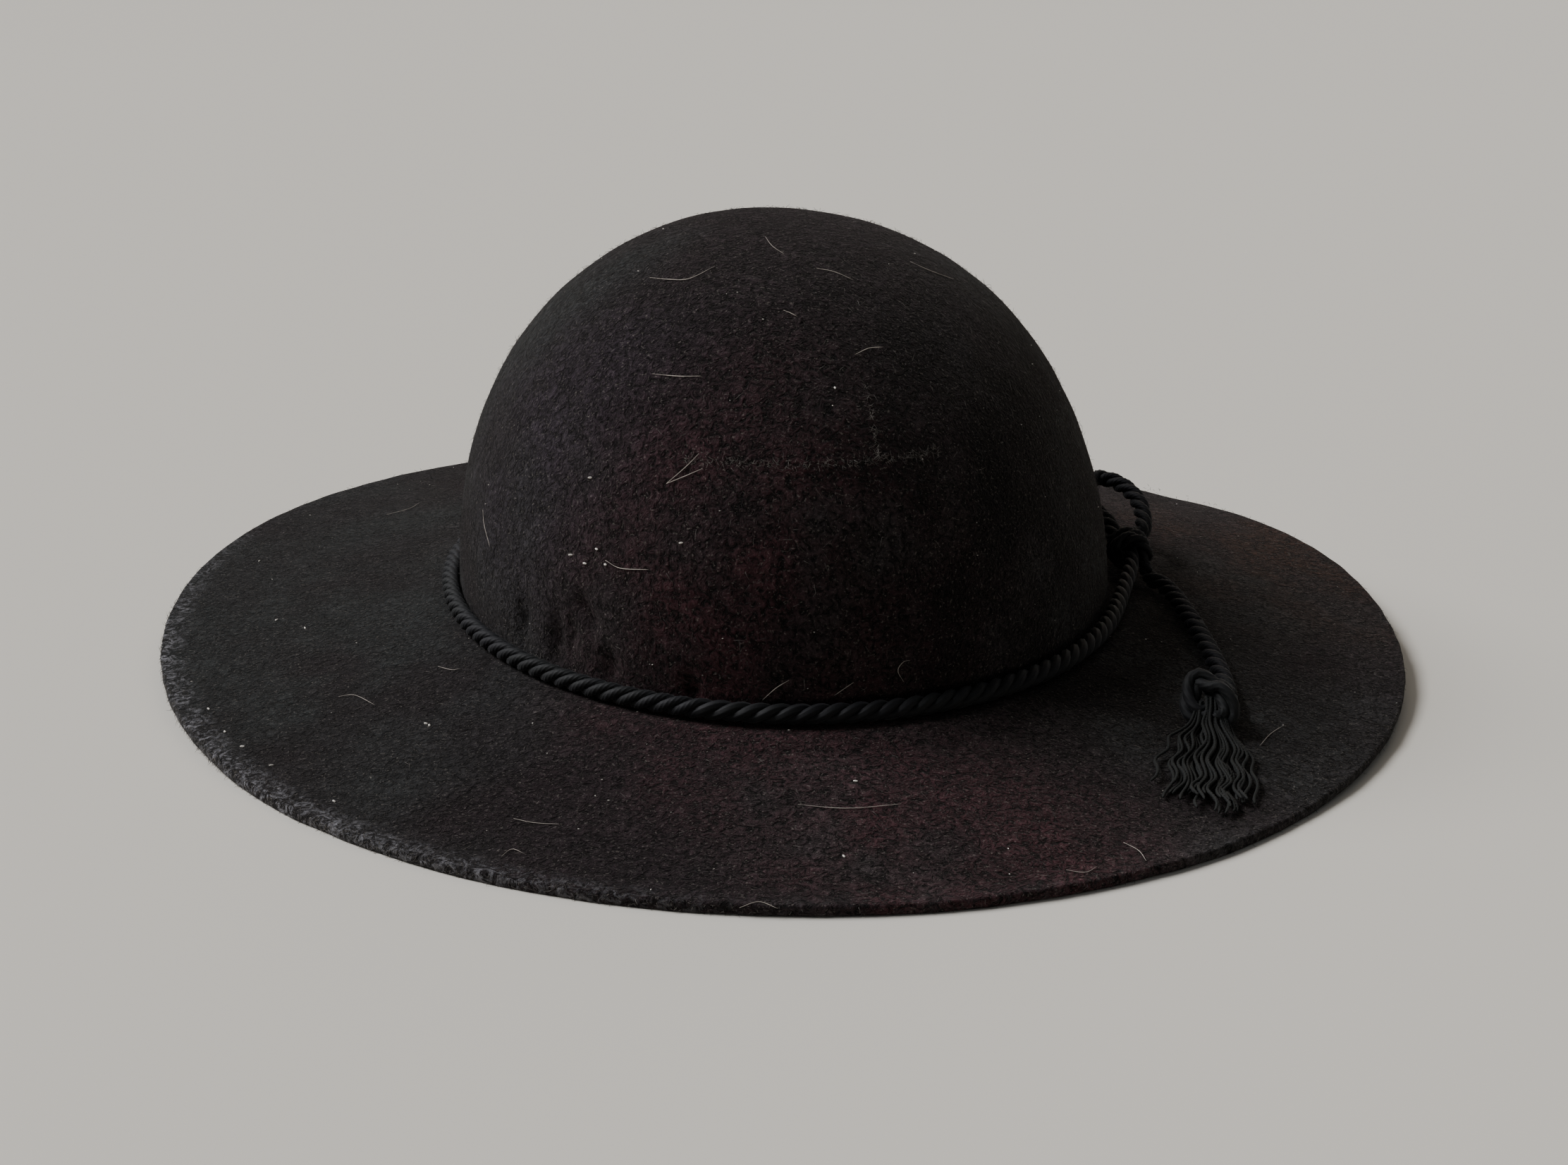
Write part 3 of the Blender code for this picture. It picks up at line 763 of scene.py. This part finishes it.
def felt_mesh(form, wear):
    """Crown and brim as one closed wall of felt: the section spun round, then each point placed."""
    # The vector noise of the lumps starts from the clock where no seed is set.
    noise.seed_set(3)
    made = bmesh.new()
    layers = [made.verts.layers.float.new(name) for name in ("share", "offset", "level", "brim")]
    chain = []
    for values in felt_profile(form):
        share, offset, level, _ = values
        vert = made.verts.new((form.crown_half_width * share + offset, 0, level))
        for layer, value in zip(layers, values):
            vert[layer] = value
        chain.append(vert)
    spun(made, chain, form.sectors)
    for vert in made.verts:
        angle = math.atan2(vert.co.y, vert.co.x)
        vert.co = felt_place(form, wear, angle, *(vert[layer] for layer in layers))
    bmesh.ops.remove_doubles(made, verts=made.verts, dist=0.00001)
    put_in_order(made)
    bmesh.ops.recalc_face_normals(made, faces=made.faces)
    for layer in layers:
        made.verts.layers.float.remove(layer)
    return object_from(made, "felt")


def scattered(mesh, count, weigh, chance):
    """(place, normal) of points spread over a mesh, thicker where the weight is more."""
    faces = list(mesh.polygons)
    weights = [face.area * weigh(face.center, face.normal) for face in faces]
    spots = []
    for face in chance.choices(faces, weights=weights, k=count):
        shares = [chance.random() + 0.01 for _ in face.vertices]
        place = Vector()
        for share, index in zip(shares, face.vertices):
            place += mesh.vertices[index].co * share / sum(shares)
        spots.append((place, face.normal.copy()))
    return spots


def stray_fibre(place, normal, length, lift, thickness, chance):
    """A short bent fibre rooted in the felt, which leaves it at this angle."""
    side = normal.orthogonal().normalized()
    side.rotate(Matrix.Rotation(chance.uniform(0, TURN), 3, normal))
    bend = normal.cross(side) * chance.uniform(-0.35, 0.35)
    route = []
    for share, scale in ((0.0, 1.0), (0.55, 0.8), (1.0, 0.3)):
        out = normal * (math.sin(lift) * share * (1 - 0.35 * share) * length - 0.05 * MM)
        flat = (side * math.cos(lift) + bend * share) * share * length
        spot = place + flat + out
        spot.z = max(spot.z, thickness)
        route.append((spot, thickness * scale, 0.0))
    return route


def felt_weight(centre, normal):
    """How much nap a face of the felt shows: most outside, some under the brim, little inside."""
    if centre.length_squared < 0.0116 and normal.z < 0.2 and centre.z > 0.014:
        outward = normal.x * centre.x + normal.y * centre.y
        if outward < 0:
            return 0.1
    return 1.0 if normal.z > -0.3 else 0.35


def band_point(form, cord, angle):
    """A point on the line of the band, which the hitch pulls off the crown."""
    away = (angle - cord.hitch_angle + math.pi) % TURN - math.pi
    share = math.exp(-((away / cord.hitch_reach) ** 2))
    rest = cord.radius + 1.3 * GAP
    offset = rest + (cord.hitch_offset - rest) * share
    z = break_height(form) + rest + (cord.hitch_height - rest) * share
    return oval_point(form, angle, offset, z), share


def tassel_axes(form, cord):
    """The tassel knot's centre, and the fringe's direction and its direction across."""
    centre = on_brim(form, *TASSEL_PLACE, cord.knot_height + 1.5 * GAP)
    along = Vector((-0.13, -0.99, 0)).normalized()
    return centre, along, Vector((-along.y, along.x, 0))


def tail_frames(form, cord):
    """The frames of the whole tail, from the hitch along the brim and through its overhand knot."""
    centre, along, across = tassel_axes(form, cord)
    spots = [on_brim(form, x, y, cord.radius + 1.5 * GAP) for x, y in TAIL_PLACES[:-1]]
    for u, v, w in OVERHAND_PLACES:
        spots.append(centre + (across * u + along * v + Vector((0, 0, w))) * MM)
    return frames_along(smooth_route(spots, cord.lay / 15))


def at_distance(frames, distance):
    """The place this far along a route."""
    return min(frames, key=lambda frame: abs(frame[4] - distance))[0]


class HAT_OT_stage(bpy.types.Operator):
    """Floor, lights and camera"""
    bl_idname = "hat.stage"
    bl_label = "Stage"

    def execute(self, context):
        form = context.scene.hat_form
        self.floor(context.scene.hat_finish)
        self.lights(context)
        self.camera(context, Vector((form.crown_x, 0, break_height(form))))
        return {"FINISHED"}

    def floor(self, finish):
        """A wide floor whose far edge curves up a little all round."""
        made = bmesh.new()
        flat, curve = 5.0, 2.5
        section = [(0.0, 0.0), (0.8, 0.0), (flat, 0.0)]
        for angle in range(10, 41, 10):
            turned = math.radians(angle)
            section.append((flat + curve * math.sin(turned), curve * (1 - math.cos(turned))))
        chain = [made.verts.new((x, 0, z)) for x, z in section]
        spun(made, chain, 96)
        bmesh.ops.remove_doubles(made, verts=made.verts, dist=0.0001)
        bmesh.ops.recalc_face_normals(made, faces=made.faces)
        bmesh.ops.reverse_faces(made, faces=[face for face in made.faces if face.normal.z < 0])
        floor = object_from(made, "floor")
        floor.data.materials.append(painted_floor(finish))

    def lights(self, context):
        """A broad window at the wearer's right, a weak warm one behind, and a dim pale sky."""
        world = bpy.data.worlds.new("soft room light")
        world.use_nodes = True
        sky = world.node_tree.nodes["Background"]
        sky.inputs["Color"].default_value = (*linear("e9ecf0"), 1)
        sky.inputs["Strength"].default_value = 0.13
        context.scene.world = world
        for name, energy, width, tint, place in (
                ("window", 3.9, 32, "f9f9fc", (-1.25, 0.27, 1.28)),
                ("back window", 0.48, 40, "ffeedb", (0.25, 1.2, 0.95))):
            lamp = bpy.data.lights.new(name, "SUN")
            lamp.energy = energy
            lamp.angle = math.radians(width)
            lamp.color = linear(tint)
            obj = add_object(name, lamp)
            obj.location = place
            aim = Vector((0, 0, 0.05)) - obj.location
            obj.rotation_euler = aim.to_track_quat("-Z", "Y").to_euler()

    def camera(self, context, target):
        """A camera a forearm's length from the hat, looking a little down on its front."""
        distance = 0.64974
        elevation = math.radians(19.3)
        roll = math.radians(1.18)
        lens = bpy.data.cameras.new("camera")
        lens.lens = 54.1
        lens.sensor_width = 36
        lens.shift_x = -0.0004
        lens.shift_y = -0.0037
        lens.clip_start = 0.02
        obj = add_object("camera", lens)
        back = Vector((0, -math.cos(elevation), math.sin(elevation)))
        upright = (-back).to_track_quat("-Z", "Y").to_matrix().to_4x4()
        obj.matrix_world = (Matrix.Translation(target + back * distance) @ upright
                            @ Matrix.Rotation(roll, 4, "Z"))
        context.scene.camera = obj


class HAT_OT_cord_band(bpy.types.Operator):
    """The twisted cord round the crown and its hitch"""
    bl_idname = "hat.cord_band"
    bl_label = "Cord band"

    def execute(self, context):
        form, cord = context.scene.hat_form, context.scene.hat_cord
        finish = cotton_cord("black twisted cotton cord", context.scene.hat_finish.cord, 0.4)
        fine = [band_point(form, cord, TURN * number / 720)[0] for number in range(721)]
        length = sum((end - start).length for start, end in zip(fine, fine[1:]))
        lays = round(length / cord.lay)
        route = even_route(fine, length / (15 * lays))[:-1]
        frames = frames_along(route, closed=True)
        whole = frames[-1][4] + (route[0] - route[-1]).length
        tight = []
        for place in route:
            angle = math.atan2(place.y / form.crown_half_length,
                               (place.x - form.crown_x) / form.crown_half_width)
            tight.append(band_point(form, cord, angle)[1] ** 0.5)

        def radius_at(walked):
            share = tight[min(int(walked / whole * len(tight) + 0.5), len(tight) - 1)]
            return cord.radius + (cord.tight_radius - cord.radius) * share

        band = twisted_cord("band_cord", frames, radius_at, whole / lays, closed=True)
        finished(band, finish, "cord_ring", "cord", "cord_band")
        self.hitch(form, cord, finish)
        return {"FINISHED"}

    def hitch(self, form, cord, finish):
        """The turns of the cord round the band, from the tail's root to the loop's root."""
        coil = 2 * cord.tight_radius + 1.2 * GAP
        pitch = 2 * cord.tight_radius + 1.3 * GAP
        spots = [on_brim(form, *TAIL_PLACES[0], cord.radius + 1.5 * GAP)]
        spots.append(spots[0] + Vector((-0.0004, 0.0027, 0.0015)))
        steps = round(12 * cord.hitch_turns)
        for number in range(steps + 1):
            turns = cord.hitch_turns * (number / steps - 0.5)
            angle = cord.hitch_angle + turns * pitch / (form.crown_half_length + cord.hitch_offset)
            centre = band_point(form, cord, angle)[0]
            ahead = band_point(form, cord, angle + 0.01)[0]
            along = (ahead - band_point(form, cord, angle - 0.01)[0]).normalized()
            across = along.cross(UP).normalized()
            up = across.cross(along)
            phase = TURN * turns
            spots.append(centre + across * coil * math.cos(phase) + up * coil * math.sin(phase))
        x, y, z = LOOP_PLACES[1]
        spots.append(Vector((form.crown_x + x, y, break_height(form) + z)))
        frames = frames_along(smooth_route(spots, cord.lay / 15))
        hitch = twisted_cord("hitch_cord", frames, lambda walked: cord.tight_radius * 1.04,
                             cord.lay * 0.85, blunt=False)
        finished(hitch, finish, "cord_ring", "cord", "cord_knot")


class HAT_OT_cord_loop(bpy.types.Operator):
    """The slipped loop behind the hitch"""
    bl_idname = "hat.cord_loop"
    bl_label = "Cord loop"

    def execute(self, context):
        form, cord = context.scene.hat_form, context.scene.hat_cord
        finish = bpy.data.materials["black twisted cotton cord"]
        top = break_height(form)
        spots = [Vector((form.crown_x + x, y, top + z)) for x, y, z in LOOP_PLACES]
        frames = frames_along(smooth_route(spots, cord.lay / 15))
        loop = twisted_cord("loop_cord", frames, lambda walked: cord.loop_radius, cord.lay,
                            blunt=False)
        finished(loop, finish, None, "cord", "cord_loop")
        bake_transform(loop, "cord_ring", "loop", start=(0.0945, 0.0150, 0.0248),
                 end=(0.0945, 0.0260, 0.0248))
        return {"FINISHED"}


class HAT_OT_cord_tail(bpy.types.Operator):
    """The tail on the brim, with its overhand knot and its fringe"""
    bl_idname = "hat.cord_tail"
    bl_label = "Cord tail and tassel"

    def execute(self, context):
        form, cord = context.scene.hat_form, context.scene.hat_cord
        finish = bpy.data.materials["black twisted cotton cord"]
        frames = tail_frames(form, cord)

        def radius_at(walked):
            loosened = eased((walked - TASSEL_JOIN_AT - 0.002) / 0.006)
            return cord.radius + (cord.knot_radius - cord.radius) * loosened

        upper = [item for item in frames if item[4] <= TAIL_JOIN_AT]
        lower = [item for item in frames if upper[-1][4] <= item[4] <= TASSEL_JOIN_AT]
        knotted = [item for item in frames if item[4] >= lower[-1][4]]

        tail_upper = twisted_cord("tail_upper_cord", upper, radius_at, cord.lay)
        tail_lower = twisted_cord("tail_lower_cord", lower, radius_at, cord.lay)
        knot = twisted_cord("tassel_knot_cord", knotted, radius_at, cord.lay,
                            opened=TASSEL_JOIN_AT)
        locks = fringe_locks(context)
        finished(tail_upper, finish, None, "cord", "tail_root", "tail_upper")
        finished(tail_lower, finish, None, "cord", "tail_lower")
        finished(knot, finish, None, "cord", "tassel_knot")
        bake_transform(tail_upper, "tail_root", "tail_upper",
                 start=at_distance(frames, TAIL_LIFT_AT - HINGE_BEFORE),
                 end=at_distance(frames, TAIL_LIFT_AT + HINGE_AFTER))
        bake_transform(tail_lower, "tail_upper", "tail_lower",
                 start=at_distance(frames, TAIL_JOIN_AT + 0.0005),
                 end=at_distance(frames, TAIL_BEND_AT + HINGE_AFTER))
        hinge = on_brim(form, *TAIL_PLACES[-1], cord.radius + 1.5 * GAP)
        toward = (at_distance(frames, TASSEL_JOIN_AT + 0.004) - lower[-1][0]).normalized()
        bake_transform(knot, "tail_lower", "tassel", start=hinge - toward * 0.0025,
                 end=hinge + toward * 0.0015)
        return {"FINISHED"}


def fringe_locks(context):
    """The fringe: ridged yarns in locks that kept the cord's crimp together."""
    form, cord = context.scene.hat_form, context.scene.hat_cord
    finish = cotton_cord("black cotton yarn, opened", context.scene.hat_finish.yarn, 0.3)
    chance = random.Random(11)
    centre, along, across = tassel_axes(form, cord)
    locks = []
    lock_count, yarns_in_lock = 6, 6
    for lock in range(lock_count):
        middle = (lock - (lock_count - 1) / 2) / (lock_count / 2)
        phase = 1.1 * math.sin(2.3 * middle + 0.6) + chance.uniform(-0.25, 0.25)
        crimp = chance.uniform(0.0128, 0.0140)
        meander = chance.uniform(0.3, 1.1) * MM
        routes = []
        for yarn in range(yarns_in_lock):
            spread = (yarn - (yarns_in_lock - 1) / 2) / (yarns_in_lock / 2)
            side = middle + spread * 0.22 + chance.uniform(-0.04, 0.04)
            drift = chance.uniform(-0.06, 0.06)
            if lock == 0 and yarn == 0:
                drift = 0.3
            layer = 0.0002 + 0.0026 * chance.random() * (1 - 0.35 * abs(side))
            length = cord.yarn_length * (1 - 0.07 * side * side) * chance.uniform(0.84, 1.06)
            own_phase = phase + chance.uniform(-0.2, 0.2)
            swing = chance.uniform(0.75, 1.2)
            start = Vector((side * 0.0030, 0.0004 + 0.0012 * chance.random()))
            steps = round(length / 0.0005)
            spine = []
            for number in range(steps + 1):
                share = number / steps
                open_out = eased(share / 0.62) * 0.9 + 0.1 * share
                width = start.x + (side * (1 + drift * share) * cord.fringe_spread / 2
                                   - start.x) * open_out
                walk = TURN * length * share / crimp
                wave = math.sin(walk + own_phase + 0.6 * math.sin(0.37 * walk + 4 * middle))
                wave *= (0.08 + 0.85 * eased(share / 0.5)) * swing * MM
                wave += meander * math.sin(TURN * share * 0.8 + phase) * share
                forth = start.y + length * share
                spot = centre + across * (width + wave) + along * forth
                ground = on_brim(form, spot.x - form.crown_x, spot.y,
                                 cord.yarn_radius + 0.2 * MM + layer * (1 - 0.45 * share))
                neck = centre.z - 0.0014 + layer
                lifted = 0.35 * MM * math.cos(walk + own_phase)
                spot.z = (ground.z + max(neck - ground.z, 0) * (1 - share) ** 4.2
                          + max(lifted, 0) * eased(share / 0.3))
                spine.append(spot)
            left = [min(1.0, (steps - number) * 0.0005 / 0.0015) for number in range(steps + 1)]
            routes.append([(place, cord.yarn_radius * (0.55 + 0.35 * full), TURN * walked / 0.004)
                           for (place, _, _, _, walked), full in zip(frames_along(spine), left)])
        piece = tubes(f"fringe_lock_{lock + 1}", routes, (1.0, 0.72) * 4)
        finished(piece, finish, "tassel", "yarn",
                 *(f"fringe_yarn_{lock * 4 + number + 1:02}" for number in range(4)))
        locks.append(piece)
    return locks


class HAT_OT_felt(bpy.types.Operator):
    """The felt of crown and brim, with its nap"""
    bl_idname = "hat.felt"
    bl_label = "Felt and nap"

    def execute(self, context):
        scene = context.scene
        felt = felt_mesh(scene.hat_form, scene.hat_wear)
        finished(felt, wool_felt(scene.hat_finish), "hat", "felt", "felt_body")
        chance = random.Random(5)
        routes = []
        for place, normal in scattered(felt.data, scene.hat_wear.naps, felt_weight, chance):
            length = chance.uniform(0.9, 2.3) * MM
            routes.append(stray_fibre(place, normal, length, math.radians(chance.uniform(12, 62)),
                                      0.045 * MM, chance))
        nap = tubes("felt_nap", routes, (1.0,) * 3)
        finished(nap, loose_fibre("wool nap", scene.hat_finish.nap, 0.1), "hat", "felt")
        return {"FINISHED"}


class HAT_OT_lint(bpy.types.Operator):
    """Hairs, lint and specks caught in the nap"""
    bl_idname = "hat.lint"
    bl_label = "Lint"

    def execute(self, context):
        form, wear = context.scene.hat_form, context.scene.hat_wear
        finish = loose_fibre("pale lint", context.scene.hat_finish.lint, 0.0)
        chance = random.Random(23)
        felt = bpy.data.objects["felt"]
        context.view_layer.update()
        routes = []
        for hair in CROWN_HAIRS:
            spots = [self.crown_spot(form, felt, angle, up, 0.3 * MM)[0] for angle, up in hair]
            routes.append(self.hair(spots))
        for hair in BRIM_HAIRS:
            spots = [self.brim_spot(form, felt, x, y, 0.3 * MM)[0] for x, y in hair]
            routes.append(self.hair(spots))
        hairs = tubes("light_hairs", routes, (1.0,) * 4)
        finished(hairs, finish, "hat", "felt")
        short = []
        for place, normal in scattered(felt.data, wear.lint, felt_weight, chance):
            length = chance.uniform(0.8, 3.2) * MM
            short.append(stray_fibre(place + normal * 0.12 * MM, normal, length,
                                     math.radians(chance.uniform(2, 18)), 0.04 * MM, chance))
        short += self.edge_lint(form, chance) + self.rubbed_lines(form, felt, chance)
        finished(tubes("lint_fibres", short, (1.0,) * 3),
                 loose_fibre("grey lint", linear("6c6762"), 0.0), "hat", "felt")
        self.specks(form, felt, chance)
        return {"FINISHED"}

    def hair(self, spots):
        """One hair along these places, thinner at its ends."""
        route = smooth_route(spots, 0.8 * MM)
        last = len(route) - 1
        return [(place, 0.08 * MM * (0.45 + 0.55 * math.sin(math.pi * number / last)), 0.0)
                for number, place in enumerate(route)]

    def settled(self, felt, place, outward, height):
        """The spot at this height above the felt, straight in from outside a place, and its normal."""
        start = place + outward * 8 * MM
        found, spot, normal, _ = felt.ray_cast(start, -outward, distance=16 * MM)
        if not found:
            return place, outward
        return spot + normal * height, normal

    def crown_spot(self, form, felt, angle, up, height):
        place = on_crown(form, math.radians(angle), up * MM, 0)
        outward = (on_crown(form, math.radians(angle), up * MM, MM) - place).normalized()
        return self.settled(felt, place, outward, height)

    def brim_spot(self, form, felt, x, y, height):
        return self.settled(felt, on_brim(form, x * MM, y * MM, 0), UP, height)

    def rubbed_lines(self, form, felt, chance):
        """Short grey fibres raised along the two faint rubbed lines on the crown's front."""
        fibres = []
        for start, end, count in RUBBED_LINES:
            for _ in range(count):
                share = chance.random()
                angle = start[0] + (end[0] - start[0]) * share + chance.uniform(-0.3, 0.3)
                up = start[1] + (end[1] - start[1]) * share + chance.gauss(0, 0.45)
                place, normal = self.crown_spot(form, felt, angle, up, 0.1 * MM)
                fibres.append(stray_fibre(place, normal, chance.uniform(0.7, 1.7) * MM,
                                          math.radians(chance.uniform(2, 25)), 0.05 * MM, chance))
        return fibres

    def edge_lint(self, form, chance):
        """Frayed grey fibre on the cut edge, thickest at the wearer's front right."""
        fibres = []
        for _ in range(EDGE_FIBRES):
            angle = math.radians(chance.triangular(-195, -85, -142))
            if chance.random() < 0.25:
                angle = chance.uniform(0, TURN)
            below = chance.uniform(0.0001, 0.9 * form.felt)
            edge = oval_point(form, angle, form.brim_width - 0.0001 - 0.0006 * chance.random(),
                              brim_top(form, angle, form.brim_width) - below)
            out = Vector((math.cos(angle), math.sin(angle), chance.uniform(-0.1, 0.9))).normalized()
            fibres.append(stray_fibre(edge, out, chance.uniform(0.5, 1.6) * MM,
                                      math.radians(chance.uniform(0, 38)), 0.06 * MM, chance))
        return fibres

    def specks(self, form, felt, chance):
        """Small flat crumbs of dust."""
        spots = [(self.crown_spot(form, felt, angle, up, 0.1 * MM)[0], 0.55 * MM)
                 for angle, up in CROWN_SPECKS]
        spots += [(self.brim_spot(form, felt, x, y, 0.1 * MM)[0], 0.5 * MM)
                  for x, y in BRIM_SPECKS]
        for place, normal in scattered(felt.data, SCATTERED_SPECKS, felt_weight, chance):
            spots.append((place + normal * 0.05 * MM, chance.uniform(0.12, 0.26) * MM))
        made = bmesh.new()
        for place, radius in spots:
            turned = Matrix.Rotation(chance.uniform(0, TURN), 4, "Z")
            shape = Matrix.Diagonal((1.25, chance.uniform(0.35, 0.75), 0.5, 1.0))
            bmesh.ops.create_icosphere(made, subdivisions=1, radius=radius,
                                       matrix=Matrix.Translation(place) @ turned @ shape)
        finished(object_from(made, "dust_specks", smooth=False),
                 loose_fibre("pale crumbs", linear("e6e0d6"), 0.0), "hat", "felt")


class HAT_OT_sweatband(bpy.types.Operator):
    """The grosgrain sweatband, its stitches and its blank label"""
    bl_idname = "hat.sweatband"
    bl_label = "Sweatband"

    def execute(self, context):
        form, band = context.scene.hat_form, context.scene.hat_band
        colours = context.scene.hat_finish
        ribbon = self.ribbon(form, band)
        finished(ribbon, woven("black grosgrain ribbon, woven", colours.ribbon, 0.5, 0.6),
                 "hat", "ribbon", "sweatband")
        thread = loose_fibre("black sewing thread, spun", colours.thread, 0.05)
        stitches = self.stitches(form, band)
        finished(stitches, thread, "hat", "thread", "sweatband_thread")
        label, tacks = self.label(form, band)
        finished(label, woven("blank woven label, satin", colours.label, 0.45, 0.65),
                 "hat", "label", "size_label")
        finished(tacks, thread, "hat", "thread")
        return {"FINISHED"}

    def lap_inset(self, form, band, turned):
        """How far the ribbon stands in from the wall, where it climbs over its own start."""
        lap = band.lap / form.crown_half_width
        climb = (turned - TURN + 2 * lap) / lap
        return (band.thickness + GAP) * min(max(climb, 0), 1)

    def curved_sheet(self, name, across, up, place, thickness):
        """A grid laid out flat for its UV map, placed on a curved wall, then given a thickness."""
        made = bmesh.new()
        bmesh.ops.create_grid(made, x_segments=across, y_segments=up, size=0.5)
        weave = made.loops.layers.uv.new("weave")
        for vert in made.verts:
            vert.co.x, vert.co.y = vert.co.x + 0.5, vert.co.y + 0.5
        for face in made.faces:
            for loop in face.loops:
                loop[weave].uv = place(loop.vert.co.x, loop.vert.co.y)[1]
        for vert in made.verts:
            vert.co = place(vert.co.x, vert.co.y)[0]
        for face in made.faces:
            face.normal_update()
        inward = [face for face in made.faces
                  if face.normal.x * face.calc_center_median().x
                  + face.normal.y * face.calc_center_median().y > 0]
        bmesh.ops.reverse_faces(made, faces=inward)
        bmesh.ops.solidify(made, geom=made.faces[:], thickness=thickness)
        put_in_order(made)
        bmesh.ops.recalc_face_normals(made, faces=made.faces)
        sheet = object_from(made, name)
        sheet.data.set_sharp_from_angle(angle=math.radians(50))
        return sheet

    def ribbon(self, form, band):
        """The ribbed ribbon once round the inside of the crown, lapped at the back."""
        sweep = TURN + band.lap / form.crown_half_width
        length = sweep * (form.crown_half_width + form.crown_half_length) / 2
        ribs = round(length / band.rib)

        def place(share, up):
            turned = sweep * share
            rib = 0.5 + 0.5 * math.cos(TURN * share * ribs)
            picot = 1 + 0.006 * math.cos(TURN * share * ribs) * (abs(up - 0.5) > 0.49)
            inset = band.clear + self.lap_inset(form, band, turned) + band.thickness
            inset += (rib - 0.5) * 0.12 * MM * min(1, (0.5 - abs(up - 0.5)) / 0.04 + 0.2)
            height = band.foot + band.height * (0.5 + (up - 0.5) * picot)
            spot = inside_point(form, math.pi / 2 + turned, inset, height)
            return spot, (share * length, up * band.height)

        return self.curved_sheet("sweatband_ribbon", 2 * ribs, 12, place,
                                 -(band.thickness - 0.1 * MM))

    def stitches(self, form, band):
        """A running stitch of separate stitches along the ribbon's lower edge."""
        around = TURN * (form.crown_half_width + form.crown_half_length) / 2
        count = round(around / band.stitch)
        routes = []
        for number in range(count):
            route = []
            for step in range(7):
                share = step / 6
                turned = TURN * (number + 0.62 * (share - 0.5)) / count
                rise = math.sin(math.pi * share)
                # Over the lap, the stitch lies on the ribbon's second layer.
                along = turned % TURN
                if along < band.lap / form.crown_half_width:
                    along += TURN
                inset = band.clear + 2 * band.thickness - 0.1 * MM
                inset += self.lap_inset(form, band, along)
                inset += band.thread_radius * (1.5 * rise - 0.7) + 0.05 * MM
                height = band.foot + band.seam_height + 0.18 * MM * (share - 0.5)
                place = inside_point(form, math.pi / 2 + turned, inset, height)
                route.append((place, band.thread_radius * (0.75 + 0.25 * rise), 0.0))
            routes.append(route)
        return tubes("sweatband_stitches", routes, (1.0,) * 6)

    def label(self, form, band):
        """The blank label and the four stitches that hold its upper edge."""
        half = band.label_width / 2 / form.crown_half_width
        near = band.clear + band.thickness + 2 * GAP + band.label_thickness

        def place(share, up):
            curl = 0.5 * MM * (1 - up) ** 2
            height = band.label_top - band.label_height * (1 - up)
            spot = inside_point(form, band.label_angle + (2 * share - 1) * half, near + curl,
                                height)
            return spot, (share * band.label_width, up * band.label_height)

        label = self.curved_sheet("blank_label", 28, 36, place, -band.label_thickness)
        routes = []
        for number in range(4):
            route = []
            for step in range(5):
                share = (number + 0.3 + 0.4 * step / 4) / 4
                inset = near + band.thread_radius * (1.4 * math.sin(math.pi * step / 4) - 0.6)
                spot = inside_point(form, band.label_angle + (2 * share - 1) * half, inset,
                                    band.label_top - 1.4 * MM)
                route.append((spot, band.thread_radius * 0.8, 0.0))
            routes.append(route)
        return label, tubes("label_tacks", routes, (1.0,) * 6)


class HAT_PT_pieces(bpy.types.Panel):
    """The hat's pieces and their sizes"""
    bl_label = "Felt hat"
    bl_idname = "HAT_PT_pieces"
    bl_space_type = "VIEW_3D"
    bl_region_type = "UI"
    bl_category = "Hat"

    def draw(self, context):
        layout = self.layout
        for operator in OPERATORS:
            layout.operator(operator.bl_idname)
        for name in GROUPS:
            box = layout.box()
            group = getattr(context.scene, name)
            for key in type(group).__annotations__:
                box.prop(group, key)


OPERATORS = (HAT_OT_stage, HAT_OT_cord_band, HAT_OT_cord_loop, HAT_OT_cord_tail, HAT_OT_felt,
             HAT_OT_lint, HAT_OT_sweatband)
GROUPS = {"hat_form": HatForm, "hat_wear": FeltWear, "hat_cord": CordForm, "hat_band": BandForm,
          "hat_finish": HatFinish}


def register():
    for made in (*GROUPS.values(), *OPERATORS, HAT_PT_pieces):
        bpy.utils.register_class(made)
    for name, group in GROUPS.items():
        setattr(bpy.types.Scene, name, PointerProperty(type=group))


def unregister():
    for name in GROUPS:
        delattr(bpy.types.Scene, name)
    for made in reversed((*GROUPS.values(), *OPERATORS, HAT_PT_pieces)):
        bpy.utils.unregister_class(made)


def main():
    register()
    bpy.ops.hat.stage()
    bpy.ops.hat.cord_band()
    bpy.ops.hat.cord_loop()
    bpy.ops.hat.cord_tail()
    bpy.ops.hat.felt()
    bpy.ops.hat.lint()
    bpy.ops.hat.sweatband()


if __name__ == "__main__":
    main()
